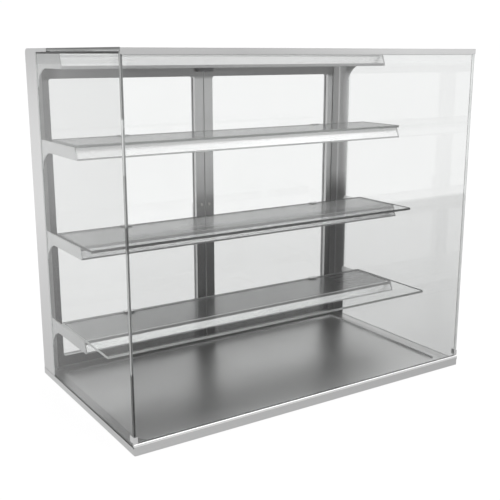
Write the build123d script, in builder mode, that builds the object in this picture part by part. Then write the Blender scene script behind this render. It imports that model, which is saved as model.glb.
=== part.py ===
"""Countertop bread display bin: stepped shelves behind fixed glass, with two rear doors.

The origin is under the centre of the bin, with +X to the right seen from the front,
-Y to the front, +Z up, and z = 0 on the counter. All sizes are in millimetres.
"""
import os

from build123d import *

os.makedirs("parts", exist_ok=True)

# overall size of the body
WIDTH = 914
DEPTH = 530
HEIGHT = 796

# stock
SHEET = 1.2
SHELF_SHEET = 1.2
PLATE = 2.5
GLASS = 6
TRIM_WALL = 1.5

# fits
GAP = 0.3
GLASS_POCKET = 0.3
BEND = 1.8
GLASS_ARRIS = 0.3

# base
PAD_HEIGHT = 1
LEDGE = 16
FRONT_UPSTAND = 4
BASE_CORNER = 3
RETURN_WIDTH = 20
SIDE_INSET = 0.8
DECK_INSET = 40
DECK_REAR_INSET = 60
DECK_DROP = 5
DECK_SEAT = 9
DECK_RIM = 12
DECK_CORNER = 14
STIFFENER_WIDTH = 60
STIFFENER_CROWN = 30
STIFFENER_SPAN = 300
PAD_SIZE = 16
PAD_MARGIN = 1

# front glass and its trims
SILL_HEIGHT = 10
SILL_BEAD = 6
SILL_REAR_LEG = 10
TOP_TRIM_DROP = 13
TOP_TRIM_REAR_DROP = 15
CORNER_CLIP_HEIGHT = 24
CORNER_CLIP_LEG = 18
CORNER_CLIP_TOE = 9
CORNER_CLIP_SHEET = 0.8

# posts
POST_DEPTH = 70
POST_THICKNESS = 6.2
POST_FLANGE_END = 30
POST_FLANGE_RECESS = 30.5
POST_REAR_LIP = 4
POST_TOP_RADIUS = 14
POST_INNER_DROP = 8
FOOT_TAB_WIDTH = 26
FOOT_TAB_DEPTH = 16

# shelves: the steel profile is shared by the three shelves and the header
SHELF_DEPTH = 140.5
SHELF_SETBACK = 65
LOWER_SHELF_RISE = 149
UPPER_SHELF_DROP = 191
HEADER_DROP = 12
HEADER_OVERRUN = 0.5
FACET_DROP = 8
FACET_LEAN = 1
LIP_DROP = 27
LIP_TURN = 4
HEADER_LIP_DROP = 32
HEADER_LIP_TURN = 7
LIP_LEAN = 9
LIP_TURN_RUN = 3
LIP_RETURN = 9
REAR_FLANGE = 18

# arms that carry the shelves
ARM_HOLLOW_LENGTH = 54
ARM_HOLLOW_DEPTH = 44
ARM_ROOT_OVERLAP = 3
ARM_FLANGE = 14
ARM_TAB_HEIGHT = 8
ARM_TAB_TOPS = (6, 57)
ARM_HOOK_DROP = 5

# glass plates that lie on the shelves
PLATE_OVERHANGS = (127.2, 66, 9.5)
PLATE_SIDE_GAP = 1
PLATE_CLIP_WIDTH = 24
PLATE_CLIP_GRIP = 12
PLATE_CLIP_SPACING = 560
PLATE_CORNER = 2

# top panel and rear top rail
TOP_PANEL_REACH = 75
TOP_PANEL_SETBACK = 16
TOP_PANEL_SHEET = 1
TOP_PANEL_SIDE_LIP = 8
TOP_GLASS_SEAT = 12
RAIL_DEPTH = 25
RAIL_HEIGHT = 39.5
RAIL_RETURN = 10

# doors
DOOR_SIDE = 21
DOOR_END_GAP = 1.3
DOOR_MEMBER = 26
DOOR_THICKNESS = 22
DOOR_FRONT_GAP = 1.5
DOOR_MEETING_GAP = 1
DOOR_WINDOW_CORNER = 6
DOOR_EDGE = 0.8
REBATE_STEP = 6
REBATE_DEPTH = 12
DOOR_GLASS = 5
BEAD_RECESS = 0.5

# pivots
PIVOT_RADIUS = 3
PIVOT_CLEARANCE = 0.05
PIVOT_FROM_SIDE = 5
PIVOT_FROM_REAR = 6.5
PIVOT_GRIP = 15
BUSH_WALL = 2
BUSH_LENGTH = 8
BUSH_FLANGE = 1.2
BUSH_FLANGE_RADIUS = 7
BUSH_HOLE_CLEARANCE = 0.05

# door pulls
PULL_BAR = 8
PULL_WIDTH = 9
PULL_SPAN = 96
PULL_DROP = 42.75
PULL_REACH = 22.8
PULL_BEND = 12
PULL_FROM_EDGE = 11

# catch and screws
CATCH_WIDTH = 44
CATCH_DEPTH = 12
CATCH_DROP = 14
CATCH_RISE = 20
CATCH_EDGE = 0.6
STRIKE_WIDTH = 16
STRIKE_SHEET = 0.9
STRIKE_FROM_EDGE = 0.6
STRIKE_MARGIN = 1.2
SCREW_RADIUS = 2
SCREW_CLEARANCE = 0.15
THREAD_CLEARANCE = 0.05
HEAD_RADIUS = 4.04
HEAD_HEIGHT = 2.4
SCREW_LENGTH = 8
RAIL_SCREW_PITCH = 16
CATCH_SCREW_SPACING = 26

# positions that follow from the sizes above
POST_FRONT = DEPTH - POST_DEPTH
POST_FLANGE_FRONT = DEPTH - POST_FLANGE_RECESS
RAIL_FRONT = POST_FLANGE_FRONT + SHEET
DOOR_FRONT = RAIL_FRONT + DOOR_FRONT_GAP
DOOR_REAR = DOOR_FRONT + DOOR_THICKNESS
SIDE = -WIDTH / 2
FRONT = -(DOOR_REAR + PULL_REACH) / 2
TOP_GLASS_UNDER = HEIGHT - GLASS
FRONT_PANE = SHEET + TRIM_WALL + GLASS_POCKET
FRONT_PANE_REAR = FRONT_PANE + GLASS
INNER_SKIN = SIDE_INSET + POST_THICKNESS
ARM_INNER = INNER_SKIN + PLATE
ARM_HOLLOW_RADIUS = (ARM_HOLLOW_LENGTH**2 + ARM_HOLLOW_DEPTH**2) / (2 * ARM_HOLLOW_DEPTH)
SHELF_FRONT = POST_FRONT - SHELF_SETBACK - SHELF_DEPTH
HEADER_FRONT = POST_FRONT + HEADER_OVERRUN - SHELF_DEPTH
HEADER_TOP = HEIGHT - HEADER_DROP
LOWER_TOP = LEDGE + LOWER_SHELF_RISE
UPPER_TOP = HEADER_TOP - UPPER_SHELF_DROP
MIDDLE_TOP = (LOWER_TOP + UPPER_TOP) / 2
SHELF_TOPS = (LOWER_TOP, MIDDLE_TOP, UPPER_TOP)
TOP_PANEL_FRONT = POST_FRONT - TOP_PANEL_REACH
TOP_PANEL_REAR = DEPTH - TOP_PANEL_SETBACK
RAIL_TOP = HEIGHT - TOP_PANEL_SHEET
RAIL_UNDER = RAIL_TOP - RAIL_HEIGHT
DOOR_BOTTOM = LEDGE + BUSH_FLANGE + DOOR_END_GAP
DOOR_TOP = RAIL_UNDER - BUSH_FLANGE - DOOR_END_GAP
DOOR_FREE = WIDTH / 2 - DOOR_MEETING_GAP / 2
PIVOT_X = DOOR_SIDE + PIVOT_FROM_SIDE
PIVOT_Y = DOOR_REAR - PIVOT_FROM_REAR
BUSH_RADIUS = PIVOT_RADIUS + PIVOT_CLEARANCE + BUSH_WALL
PULL_CENTRE = (DOOR_BOTTOM + DOOR_TOP) / 2 - PULL_DROP
FOOT_SCREW_X = INNER_SKIN + FOOT_TAB_WIDTH / 2
FOOT_SCREW_Y = POST_FLANGE_FRONT - FOOT_TAB_DEPTH / 2
CATCH_SCREW_Z = RAIL_UNDER + CATCH_RISE / 2
RAIL_SCREW_X = (INNER_SKIN + POST_FLANGE_END) / 2
RAIL_SCREW_ROWS = (RAIL_UNDER + RAIL_SCREW_PITCH / 2, RAIL_UNDER + RAIL_SCREW_PITCH * 1.5)

def x_at(inset):
    """X of a point the given distance in from the left side."""
    return SIDE + inset


def y_at(distance):
    """Y of a point the given distance behind the front."""
    return FRONT + distance


def block(x, y, z, mode=Mode.ADD):
    """Add or cut a box given by (low, high) pairs."""
    with Locations(((x[0] + x[1]) / 2, (y[0] + y[1]) / 2, (z[0] + z[1]) / 2)):
        Box(x[1] - x[0], y[1] - y[0], z[1] - z[0], mode=mode)


def bent_sheet(points, thickness, x):
    """Extrude a bent sheet along X from its outer (y, z) line, material on the left."""
    with BuildSketch(Plane.YZ.offset(x[0])) as outline:
        with BuildLine():
            FilletPolyline(*points, radius=BEND)
            offset(amount=thickness, side=Side.LEFT)
        make_face()
    extrude(outline.sketch, amount=x[1] - x[0])


def rounded_plate(x, y, z, corner, mode=Mode.ADD):
    """Add or cut a flat plate with rounded corners in plan."""
    with BuildSketch(Plane.XY.offset(z[0])) as outline:
        with Locations(((x[0] + x[1]) / 2, (y[0] + y[1]) / 2)):
            RectangleRounded(x[1] - x[0], y[1] - y[0], corner)
    extrude(outline.sketch, amount=z[1] - z[0], mode=mode)


def inset_plate(sides, front, rear, z, corner, mode=Mode.ADD):
    """Rounded plate set in from the base outline at the sides, the front and the rear."""
    rounded_plate((x_at(sides), -x_at(sides)), (y_at(front), y_at(DEPTH - rear)), z, corner, mode)


def inset_block(sides, front, rear, z, mode=Mode.ADD):
    """Square-cornered plate set in from the base outline at the sides, the front and the rear."""
    block((x_at(sides), -x_at(sides)), (y_at(front), y_at(DEPTH - rear)), z, mode)


def screw_across(places, seat, length):
    """Draw hex head screws along Y with their heads on the front of the seat."""
    with BuildSketch(Plane.XZ.offset(HEAD_HEIGHT - seat)) as head:
        with Locations(*places):
            RegularPolygon(HEAD_RADIUS, 6)
    extrude(head.sketch, amount=-HEAD_HEIGHT)
    with BuildSketch(Plane.XZ.offset(-seat)) as shank:
        with Locations(*places):
            Circle(SCREW_RADIUS)
    extrude(shank.sketch, amount=-length)


def save(piece, name):
    """Label one finished piece and write it to its own file."""
    piece.part.label = name
    export_step(piece.part, f"parts/{name}.step")


# ---------------------------------------------------------------- base

LEDGE_UNDER = LEDGE - SHEET
JOGGLE_SIDE = DECK_INSET - DECK_RIM
JOGGLE_REAR = DECK_REAR_INSET - DECK_RIM
JOGGLE_UNDER = LEDGE_UNDER - SHEET
DECK_UNDER = LEDGE - DECK_DROP - SHEET

with BuildPart() as base_tray:
    inset_plate(0, 0, 0, (PAD_HEIGHT, LEDGE), BASE_CORNER)
    block((SIDE, -SIDE), (FRONT, y_at(SHEET)), (LEDGE, LEDGE + FRONT_UPSTAND))
    front_corners = base_tray.edges().filter_by(Axis.Z).group_by(Axis.Y)[0]
    upstand_ends = front_corners.filter_by(lambda edge: edge.center().Z > LEDGE)
    fillet(upstand_ends, SHEET / 2)
    inner = (SHEET, SHEET, SHEET)
    inset_plate(*inner, (PAD_HEIGHT + SHEET, LEDGE_UNDER), BASE_CORNER - SHEET, Mode.SUBTRACT)
    ring = (RETURN_WIDTH, RETURN_WIDTH, RETURN_WIDTH)
    inset_block(*ring, (PAD_HEIGHT, PAD_HEIGHT + SHEET), Mode.SUBTRACT)
    rim = (JOGGLE_SIDE - SHEET, JOGGLE_SIDE - SHEET, JOGGLE_REAR - SHEET)
    inset_block(*rim, (JOGGLE_UNDER, LEDGE_UNDER))
    seat = (JOGGLE_SIDE, JOGGLE_SIDE, JOGGLE_REAR)
    inset_plate(*seat, (LEDGE_UNDER, LEDGE), DECK_CORNER + DECK_RIM - SHEET, Mode.SUBTRACT)
    hole = (JOGGLE_SIDE + DECK_SEAT, JOGGLE_SIDE + DECK_SEAT, JOGGLE_REAR + DECK_SEAT)
    inset_block(*hole, (JOGGLE_UNDER, LEDGE_UNDER), Mode.SUBTRACT)
    with Locations(Plane.XY.offset(LEDGE)):
        with Locations((x_at(PIVOT_X), y_at(PIVOT_Y)), (-x_at(PIVOT_X), y_at(PIVOT_Y))):
            Hole(BUSH_RADIUS + BUSH_HOLE_CLEARANCE, SHEET)
        with Locations((x_at(FOOT_SCREW_X), y_at(FOOT_SCREW_Y)), (-x_at(FOOT_SCREW_X), y_at(FOOT_SCREW_Y))):
            Hole(SCREW_RADIUS + SCREW_CLEARANCE, SHEET)
save(base_tray, "base_tray")

with BuildPart() as deck_pan:
    flange = (JOGGLE_SIDE + GAP, JOGGLE_SIDE + GAP, JOGGLE_REAR + GAP)
    inset_plate(*flange, (LEDGE_UNDER, LEDGE), DECK_CORNER + DECK_RIM - SHEET - GAP)
    outer_dish = (DECK_INSET - SHEET, DECK_INSET - SHEET, DECK_REAR_INSET - SHEET)
    inset_plate(*outer_dish, (DECK_UNDER, LEDGE_UNDER), DECK_CORNER + SHEET)
    dish = (DECK_INSET, DECK_INSET, DECK_REAR_INSET)
    inset_plate(*dish, (DECK_UNDER + SHEET, LEDGE), DECK_CORNER, Mode.SUBTRACT)
save(deck_pan, "deck_pan")

STIFFENER_LOW = PAD_HEIGHT + SHEET
with BuildPart() as deck_stiffeners:
    for centre in (-STIFFENER_SPAN / 2, STIFFENER_SPAN / 2):
        foot = STIFFENER_WIDTH / 2
        crown = STIFFENER_CROWN / 2
        with BuildSketch(Plane.XZ.offset(-y_at(SHEET + GAP))):
            with BuildLine():
                Polyline(
                    (centre + foot, STIFFENER_LOW + SHEET),
                    (centre + crown, STIFFENER_LOW + SHEET),
                    (centre + crown, DECK_UNDER),
                    (centre - crown, DECK_UNDER),
                    (centre - crown, STIFFENER_LOW + SHEET),
                    (centre - foot, STIFFENER_LOW + SHEET),
                )
                offset(amount=SHEET, side=Side.LEFT)
            make_face()
        extrude(amount=-(DEPTH - 2 * (SHEET + GAP)))
save(deck_stiffeners, "deck_stiffeners")

PAD_INSET = SHEET + PAD_SIZE / 2 + PAD_MARGIN
with BuildPart() as foot_pads:
    with BuildSketch(Plane.XY):
        with Locations((0, y_at(DEPTH / 2))):
            with GridLocations(WIDTH / 2 - PAD_INSET, DEPTH - 2 * PAD_INSET, 3, 2):
                Rectangle(PAD_SIZE, PAD_SIZE)
    extrude(amount=PAD_HEIGHT)
save(foot_pads, "foot_pads")

# ---------------------------------------------------------------- glass box

TOP_TRIM_WEB = TOP_GLASS_UNDER - TRIM_WALL
FRONT_LEG = (y_at(SHEET), y_at(SHEET + TRIM_WALL))
POCKET_REAR = FRONT_PANE_REAR + GLASS_POCKET
REAR_LEG = (y_at(POCKET_REAR), y_at(POCKET_REAR + TRIM_WALL))
TRIM_ENDS = (x_at(INNER_SKIN), -x_at(INNER_SKIN))

with BuildPart() as front_sill_trim:
    bead = (LEDGE + SILL_HEIGHT - SILL_BEAD, LEDGE + SILL_HEIGHT)
    block((SIDE, -SIDE), (FRONT, FRONT_LEG[1]), bead)
    bead_edge = front_sill_trim.edges().filter_by(Axis.X).group_by(Axis.Z)[-1].sort_by(Axis.Y)[0]
    fillet(bead_edge, SHEET + TRIM_WALL / 2)
    block((x_at(SIDE_INSET), -x_at(SIDE_INSET)), FRONT_LEG, (LEDGE, LEDGE + SILL_HEIGHT - SILL_BEAD))
    block(TRIM_ENDS, (FRONT_LEG[0], REAR_LEG[1]), (LEDGE, LEDGE + TRIM_WALL))
    block(TRIM_ENDS, REAR_LEG, (LEDGE, LEDGE + SILL_REAR_LEG))
save(front_sill_trim, "front_sill_trim")

with BuildPart() as front_glass:
    pane_base = LEDGE + TRIM_WALL + GLASS_POCKET
    rows = (y_at(FRONT_PANE), y_at(FRONT_PANE_REAR))
    block((x_at(SIDE_INSET), -x_at(SIDE_INSET)), rows, (pane_base, TOP_TRIM_WEB - GLASS_POCKET))
    chamfer(front_glass.edges().filter_by(Axis.Z), GLASS_ARRIS)
save(front_glass, "front_glass")

with BuildPart() as left_side_glass:
    rows = (y_at(FRONT_PANE_REAR), y_at(POST_FRONT) - GAP)
    block((x_at(SIDE_INSET), x_at(SIDE_INSET + GLASS)), rows, (LEDGE, TOP_GLASS_UNDER))
    chamfer(left_side_glass.edges().filter_by(Axis.Z), GLASS_ARRIS)
save(left_side_glass, "left_side_glass")

with BuildPart() as right_side_glass:
    mirror(left_side_glass.part, about=Plane.YZ)
save(right_side_glass, "right_side_glass")

with BuildPart() as top_glass:
    rows = (y_at(FRONT_PANE), y_at(TOP_PANEL_FRONT) - GAP)
    block((x_at(SIDE_INSET), -x_at(SIDE_INSET)), rows, (TOP_GLASS_UNDER, HEIGHT))
    chamfer(top_glass.edges().group_by(Axis.Z)[-1].filter_by(Axis.Y), GLASS_ARRIS)
save(top_glass, "top_glass")

with BuildPart() as front_top_trim:
    block((x_at(SIDE_INSET), -x_at(SIDE_INSET)), FRONT_LEG, (HEIGHT - TOP_TRIM_DROP, HEIGHT))
    trim_edge = front_top_trim.edges().filter_by(Axis.X).group_by(Axis.Z)[-1].sort_by(Axis.Y)[0]
    fillet(trim_edge, TRIM_WALL / 2)
    block(TRIM_ENDS, (FRONT_LEG[0], REAR_LEG[1]), (TOP_TRIM_WEB, TOP_GLASS_UNDER))
    block(TRIM_ENDS, REAR_LEG, (HEIGHT - TOP_TRIM_REAR_DROP, TOP_GLASS_UNDER))
save(front_top_trim, "front_top_trim")

CLIP_LOW = LEDGE + SILL_HEIGHT + GAP
with BuildPart() as corner_clips:
    leg = CORNER_CLIP_SHEET
    clip_rows = (CLIP_LOW, LEDGE + CORNER_CLIP_HEIGHT)
    block((SIDE, SIDE + leg), (FRONT_LEG[1], FRONT_LEG[1] + CORNER_CLIP_LEG), clip_rows)
    front_face = (y_at(FRONT_PANE) - leg, y_at(FRONT_PANE))
    block((SIDE, SIDE + CORNER_CLIP_TOE), front_face, clip_rows)
    mirror(about=Plane.YZ)
save(corner_clips, "corner_clips")

# ---------------------------------------------------------------- posts

POST_INNER_TOP = HEIGHT - POST_INNER_DROP
with BuildPart() as left_post:
    with BuildSketch(Plane.XY.offset(LEDGE)):
        with BuildLine():
            FilletPolyline(
                (x_at(SIDE_INSET + POST_REAR_LIP), y_at(DEPTH)),
                (x_at(SIDE_INSET), y_at(DEPTH)),
                (x_at(SIDE_INSET), y_at(POST_FRONT)),
                (x_at(INNER_SKIN), y_at(POST_FRONT)),
                (x_at(INNER_SKIN), y_at(POST_FLANGE_FRONT)),
                (x_at(POST_FLANGE_END), y_at(POST_FLANGE_FRONT)),
                radius=BEND,
            )
            offset(amount=SHEET, side=Side.LEFT)
        make_face()
    extrude(amount=HEIGHT - LEDGE)
    inner_side = (x_at(SIDE_INSET + SHEET), x_at(POST_FLANGE_END + SHEET))
    post_rows = (y_at(POST_FRONT - SHEET), y_at(DEPTH + SHEET))
    block(inner_side, post_rows, (POST_INNER_TOP, HEIGHT + SHEET), Mode.SUBTRACT)
    with BuildSketch(Plane.YZ.offset(SIDE)):
        with Locations((y_at(DEPTH), HEIGHT)):
            Rectangle(POST_TOP_RADIUS * 2, POST_TOP_RADIUS * 2)
        with Locations((y_at(DEPTH - POST_TOP_RADIUS), HEIGHT - POST_TOP_RADIUS)):
            Circle(POST_TOP_RADIUS, mode=Mode.SUBTRACT)
    extrude(amount=POST_FLANGE_END + SHEET, mode=Mode.SUBTRACT)
    slot_front = y_at(POST_FRONT + ARM_ROOT_OVERLAP - GAP)
    slot_depth = (x_at(INNER_SKIN - SHEET - GAP), x_at(INNER_SKIN + GAP))
    for top in (*SHELF_TOPS, HEADER_TOP):
        for tab_top in ARM_TAB_TOPS:
            slot_low = top - tab_top - ARM_TAB_HEIGHT - ARM_HOOK_DROP - GAP
            slot = (slot_low, top - tab_top + GAP)
            block(slot_depth, (slot_front, slot_front + PLATE + 2 * GAP), slot, Mode.SUBTRACT)
    tab_rear = y_at(POST_FLANGE_FRONT)
    tab_side = (x_at(INNER_SKIN), x_at(INNER_SKIN + FOOT_TAB_WIDTH))
    block(tab_side, (tab_rear - FOOT_TAB_DEPTH, tab_rear), (LEDGE, LEDGE + SHEET))
    with Locations(Plane.XY.offset(LEDGE + SHEET)):
        with Locations((x_at(FOOT_SCREW_X), y_at(FOOT_SCREW_Y))):
            Hole(SCREW_RADIUS + SCREW_CLEARANCE, SHEET)
    with BuildSketch(Plane.XZ.offset(-y_at(POST_FLANGE_FRONT))):
        with Locations(*[(x_at(RAIL_SCREW_X), z) for z in RAIL_SCREW_ROWS]):
            Circle(SCREW_RADIUS + SCREW_CLEARANCE)
    extrude(amount=-SHEET, mode=Mode.SUBTRACT)
save(left_post, "left_post")

with BuildPart() as right_post:
    mirror(left_post.part, about=Plane.YZ)
save(right_post, "right_post")

# ---------------------------------------------------------------- shelves and arms


def steel_shelf(front, top, lip_drop, lip_turn):
    """Draw the lipped shelf profile across the cabinet between its two arms."""
    rear = y_at(front + SHELF_DEPTH)
    lip = y_at(front - LIP_LEAN)
    points = [
        (rear, top - REAR_FLANGE),
        (rear, top),
        (y_at(front), top),
        (y_at(front - FACET_LEAN), top - FACET_DROP),
        (lip, top - lip_drop + lip_turn),
        (lip + LIP_TURN_RUN, top - lip_drop),
        (lip + LIP_RETURN, top - lip_drop),
    ]
    bent_sheet(points, SHELF_SHEET, (x_at(ARM_INNER + GAP), -x_at(ARM_INNER + GAP)))


def shelf_arm(front, top, lip_drop, lip_turn):
    """Draw a left arm: side plate with a hollowed root, two hooks and a bearing flange."""
    rear = y_at(POST_FRONT + ARM_ROOT_OVERLAP)
    under = top - lip_drop + SHELF_SHEET / 2
    hollow_front = (y_at(POST_FRONT - ARM_HOLLOW_LENGTH), under)
    hollow_rear = (y_at(POST_FRONT), under - ARM_HOLLOW_DEPTH)
    with BuildSketch(Plane.YZ.offset(x_at(INNER_SKIN))) as outline:
        with BuildLine():
            Polyline(
                hollow_front,
                (y_at(front - LIP_LEAN), under),
                (y_at(front - LIP_LEAN), top - lip_drop + lip_turn),
                (y_at(front), top),
                (rear, top),
                (rear, under - ARM_HOLLOW_DEPTH),
                hollow_rear,
            )
            RadiusArc(hollow_rear, hollow_front, -ARM_HOLLOW_RADIUS)
        make_face()
    extrude(outline.sketch, amount=PLATE)
    bearing = top - SHELF_SHEET
    flange_rows = (y_at(front) + LIP_RETURN, y_at(front + SHELF_DEPTH) - SHELF_SHEET - BEND)
    flange_side = (x_at(INNER_SKIN), x_at(INNER_SKIN + ARM_FLANGE))
    block(flange_side, flange_rows, (bearing - PLATE, bearing))
    for tab_top in ARM_TAB_TOPS:
        head = top - tab_top
        hook_rows = (rear, rear + PLATE)
        hook_low = x_at(SIDE_INSET + SHEET + GAP)
        hook_high = x_at(INNER_SKIN - SHEET - GAP)
        block((hook_low, x_at(ARM_INNER)), hook_rows, (head - ARM_TAB_HEIGHT, head))
        block((hook_low, hook_high), hook_rows, (head - ARM_TAB_HEIGHT - ARM_HOOK_DROP, head))


with BuildPart() as lower_shelf:
    steel_shelf(SHELF_FRONT, LOWER_TOP, LIP_DROP, LIP_TURN)
save(lower_shelf, "lower_shelf")

with BuildPart() as middle_shelf:
    steel_shelf(SHELF_FRONT, MIDDLE_TOP, LIP_DROP, LIP_TURN)
save(middle_shelf, "middle_shelf")

with BuildPart() as upper_shelf:
    steel_shelf(SHELF_FRONT, UPPER_TOP, LIP_DROP, LIP_TURN)
save(upper_shelf, "upper_shelf")

with BuildPart() as top_header:
    steel_shelf(HEADER_FRONT, HEADER_TOP, HEADER_LIP_DROP, HEADER_LIP_TURN)
save(top_header, "top_header")

with BuildPart() as lower_left_arm:
    shelf_arm(SHELF_FRONT, LOWER_TOP, LIP_DROP, LIP_TURN)
save(lower_left_arm, "lower_left_arm")

with BuildPart() as middle_left_arm:
    shelf_arm(SHELF_FRONT, MIDDLE_TOP, LIP_DROP, LIP_TURN)
save(middle_left_arm, "middle_left_arm")

with BuildPart() as upper_left_arm:
    shelf_arm(SHELF_FRONT, UPPER_TOP, LIP_DROP, LIP_TURN)
save(upper_left_arm, "upper_left_arm")

with BuildPart() as header_left_arm:
    shelf_arm(HEADER_FRONT, HEADER_TOP, HEADER_LIP_DROP, HEADER_LIP_TURN)
save(header_left_arm, "header_left_arm")

with BuildPart() as lower_right_arm:
    mirror(lower_left_arm.part, about=Plane.YZ)
save(lower_right_arm, "lower_right_arm")

with BuildPart() as middle_right_arm:
    mirror(middle_left_arm.part, about=Plane.YZ)
save(middle_right_arm, "middle_right_arm")

with BuildPart() as upper_right_arm:
    mirror(upper_left_arm.part, about=Plane.YZ)
save(upper_right_arm, "upper_right_arm")

with BuildPart() as header_right_arm:
    mirror(header_left_arm.part, about=Plane.YZ)
save(header_right_arm, "header_right_arm")

# ---------------------------------------------------------------- glass plates

PLATE_SIDE = SIDE_INSET + GLASS + PLATE_SIDE_GAP
PLATE_REAR = SHELF_FRONT + SHELF_DEPTH - BEND


def glass_plate(overhang, top):
    """Draw a glass plate that lies on a steel shelf and overhangs it to the front."""
    side = x_at(PLATE_SIDE)
    rows = (y_at(SHELF_FRONT - overhang), y_at(PLATE_REAR))
    rounded_plate((side, -side), rows, (top, top + GLASS), PLATE_CORNER)


with BuildPart() as lower_glass_plate:
    glass_plate(PLATE_OVERHANGS[0], LOWER_TOP)
save(lower_glass_plate, "lower_glass_plate")

with BuildPart() as middle_glass_plate:
    glass_plate(PLATE_OVERHANGS[1], MIDDLE_TOP)
save(middle_glass_plate, "middle_glass_plate")

with BuildPart() as upper_glass_plate:
    glass_plate(PLATE_OVERHANGS[2], UPPER_TOP)
save(upper_glass_plate, "upper_glass_plate")

with BuildPart() as plate_clips:
    for top in SHELF_TOPS:
        shelf_rear = y_at(SHELF_FRONT + SHELF_DEPTH)
        clip_top = top + GLASS + SHELF_SHEET
        for centre in (-PLATE_CLIP_SPACING / 2, PLATE_CLIP_SPACING / 2):
            clip_side = (centre - PLATE_CLIP_WIDTH / 2, centre + PLATE_CLIP_WIDTH / 2)
            clip_rear = shelf_rear + SHELF_SHEET
            block(clip_side, (shelf_rear, clip_rear), (top - REAR_FLANGE, clip_top))
            block(clip_side, (shelf_rear - PLATE_CLIP_GRIP, clip_rear), (top + GLASS, clip_top))
save(plate_clips, "plate_clips")

# ---------------------------------------------------------------- top panel and rear rail

with BuildPart() as top_panel:
    points = [
        (y_at(TOP_PANEL_FRONT - TOP_GLASS_SEAT), TOP_GLASS_UNDER),
        (y_at(TOP_PANEL_FRONT), TOP_GLASS_UNDER),
        (y_at(TOP_PANEL_FRONT), HEIGHT),
        (y_at(TOP_PANEL_REAR), HEIGHT),
    ]
    with BuildSketch(Plane.YZ.offset(x_at(INNER_SKIN + GAP))):
        with BuildLine():
            Polyline(*points)
            offset(amount=TOP_PANEL_SHEET, side=Side.RIGHT)
        make_face()
    extrude(amount=WIDTH - 2 * (INNER_SKIN + GAP))
    wing_rows = (y_at(TOP_PANEL_FRONT), y_at(POST_FRONT) - GAP)
    block((SIDE, x_at(INNER_SKIN + GAP)), wing_rows, (RAIL_TOP, HEIGHT))
    block((SIDE, x_at(SIDE_INSET)), wing_rows, (HEIGHT - TOP_PANEL_SIDE_LIP, HEIGHT))
    block((-x_at(INNER_SKIN + GAP), -SIDE), wing_rows, (RAIL_TOP, HEIGHT))
    block((-x_at(SIDE_INSET), -SIDE), wing_rows, (HEIGHT - TOP_PANEL_SIDE_LIP, HEIGHT))
save(top_panel, "top_panel")

RAIL_SIDE = INNER_SKIN + GAP
RAIL_REAR = RAIL_FRONT + RAIL_DEPTH
with BuildPart() as rear_top_rail:
    points = [
        (y_at(RAIL_REAR) - RAIL_RETURN, RAIL_TOP),
        (y_at(RAIL_REAR), RAIL_TOP),
        (y_at(RAIL_REAR), RAIL_UNDER),
        (y_at(RAIL_FRONT), RAIL_UNDER),
        (y_at(RAIL_FRONT), RAIL_TOP),
        (y_at(RAIL_FRONT) + RAIL_RETURN, RAIL_TOP),
    ]
    with BuildSketch(Plane.YZ.offset(x_at(RAIL_SIDE))):
        with BuildLine():
            Polyline(*points)
            offset(amount=SHEET, side=Side.RIGHT)
        make_face()
    extrude(amount=WIDTH - 2 * RAIL_SIDE)
    with Locations(Plane.XY.offset(RAIL_UNDER + SHEET)):
        with Locations((x_at(PIVOT_X), y_at(PIVOT_Y)), (-x_at(PIVOT_X), y_at(PIVOT_Y))):
            Hole(BUSH_RADIUS + BUSH_HOLE_CLEARANCE, SHEET)
    with BuildSketch(Plane.XZ.offset(-y_at(RAIL_FRONT))):
        with Locations(*[(side * x_at(RAIL_SCREW_X), z) for side in (1, -1) for z in RAIL_SCREW_ROWS]):
            Circle(SCREW_RADIUS + SCREW_CLEARANCE)
        with Locations((-CATCH_SCREW_SPACING / 2, CATCH_SCREW_Z), (CATCH_SCREW_SPACING / 2, CATCH_SCREW_Z)):
            Circle(SCREW_RADIUS + SCREW_CLEARANCE)
    extrude(amount=-SHEET, mode=Mode.SUBTRACT)
save(rear_top_rail, "rear_top_rail")

# ---------------------------------------------------------------- doors

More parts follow.
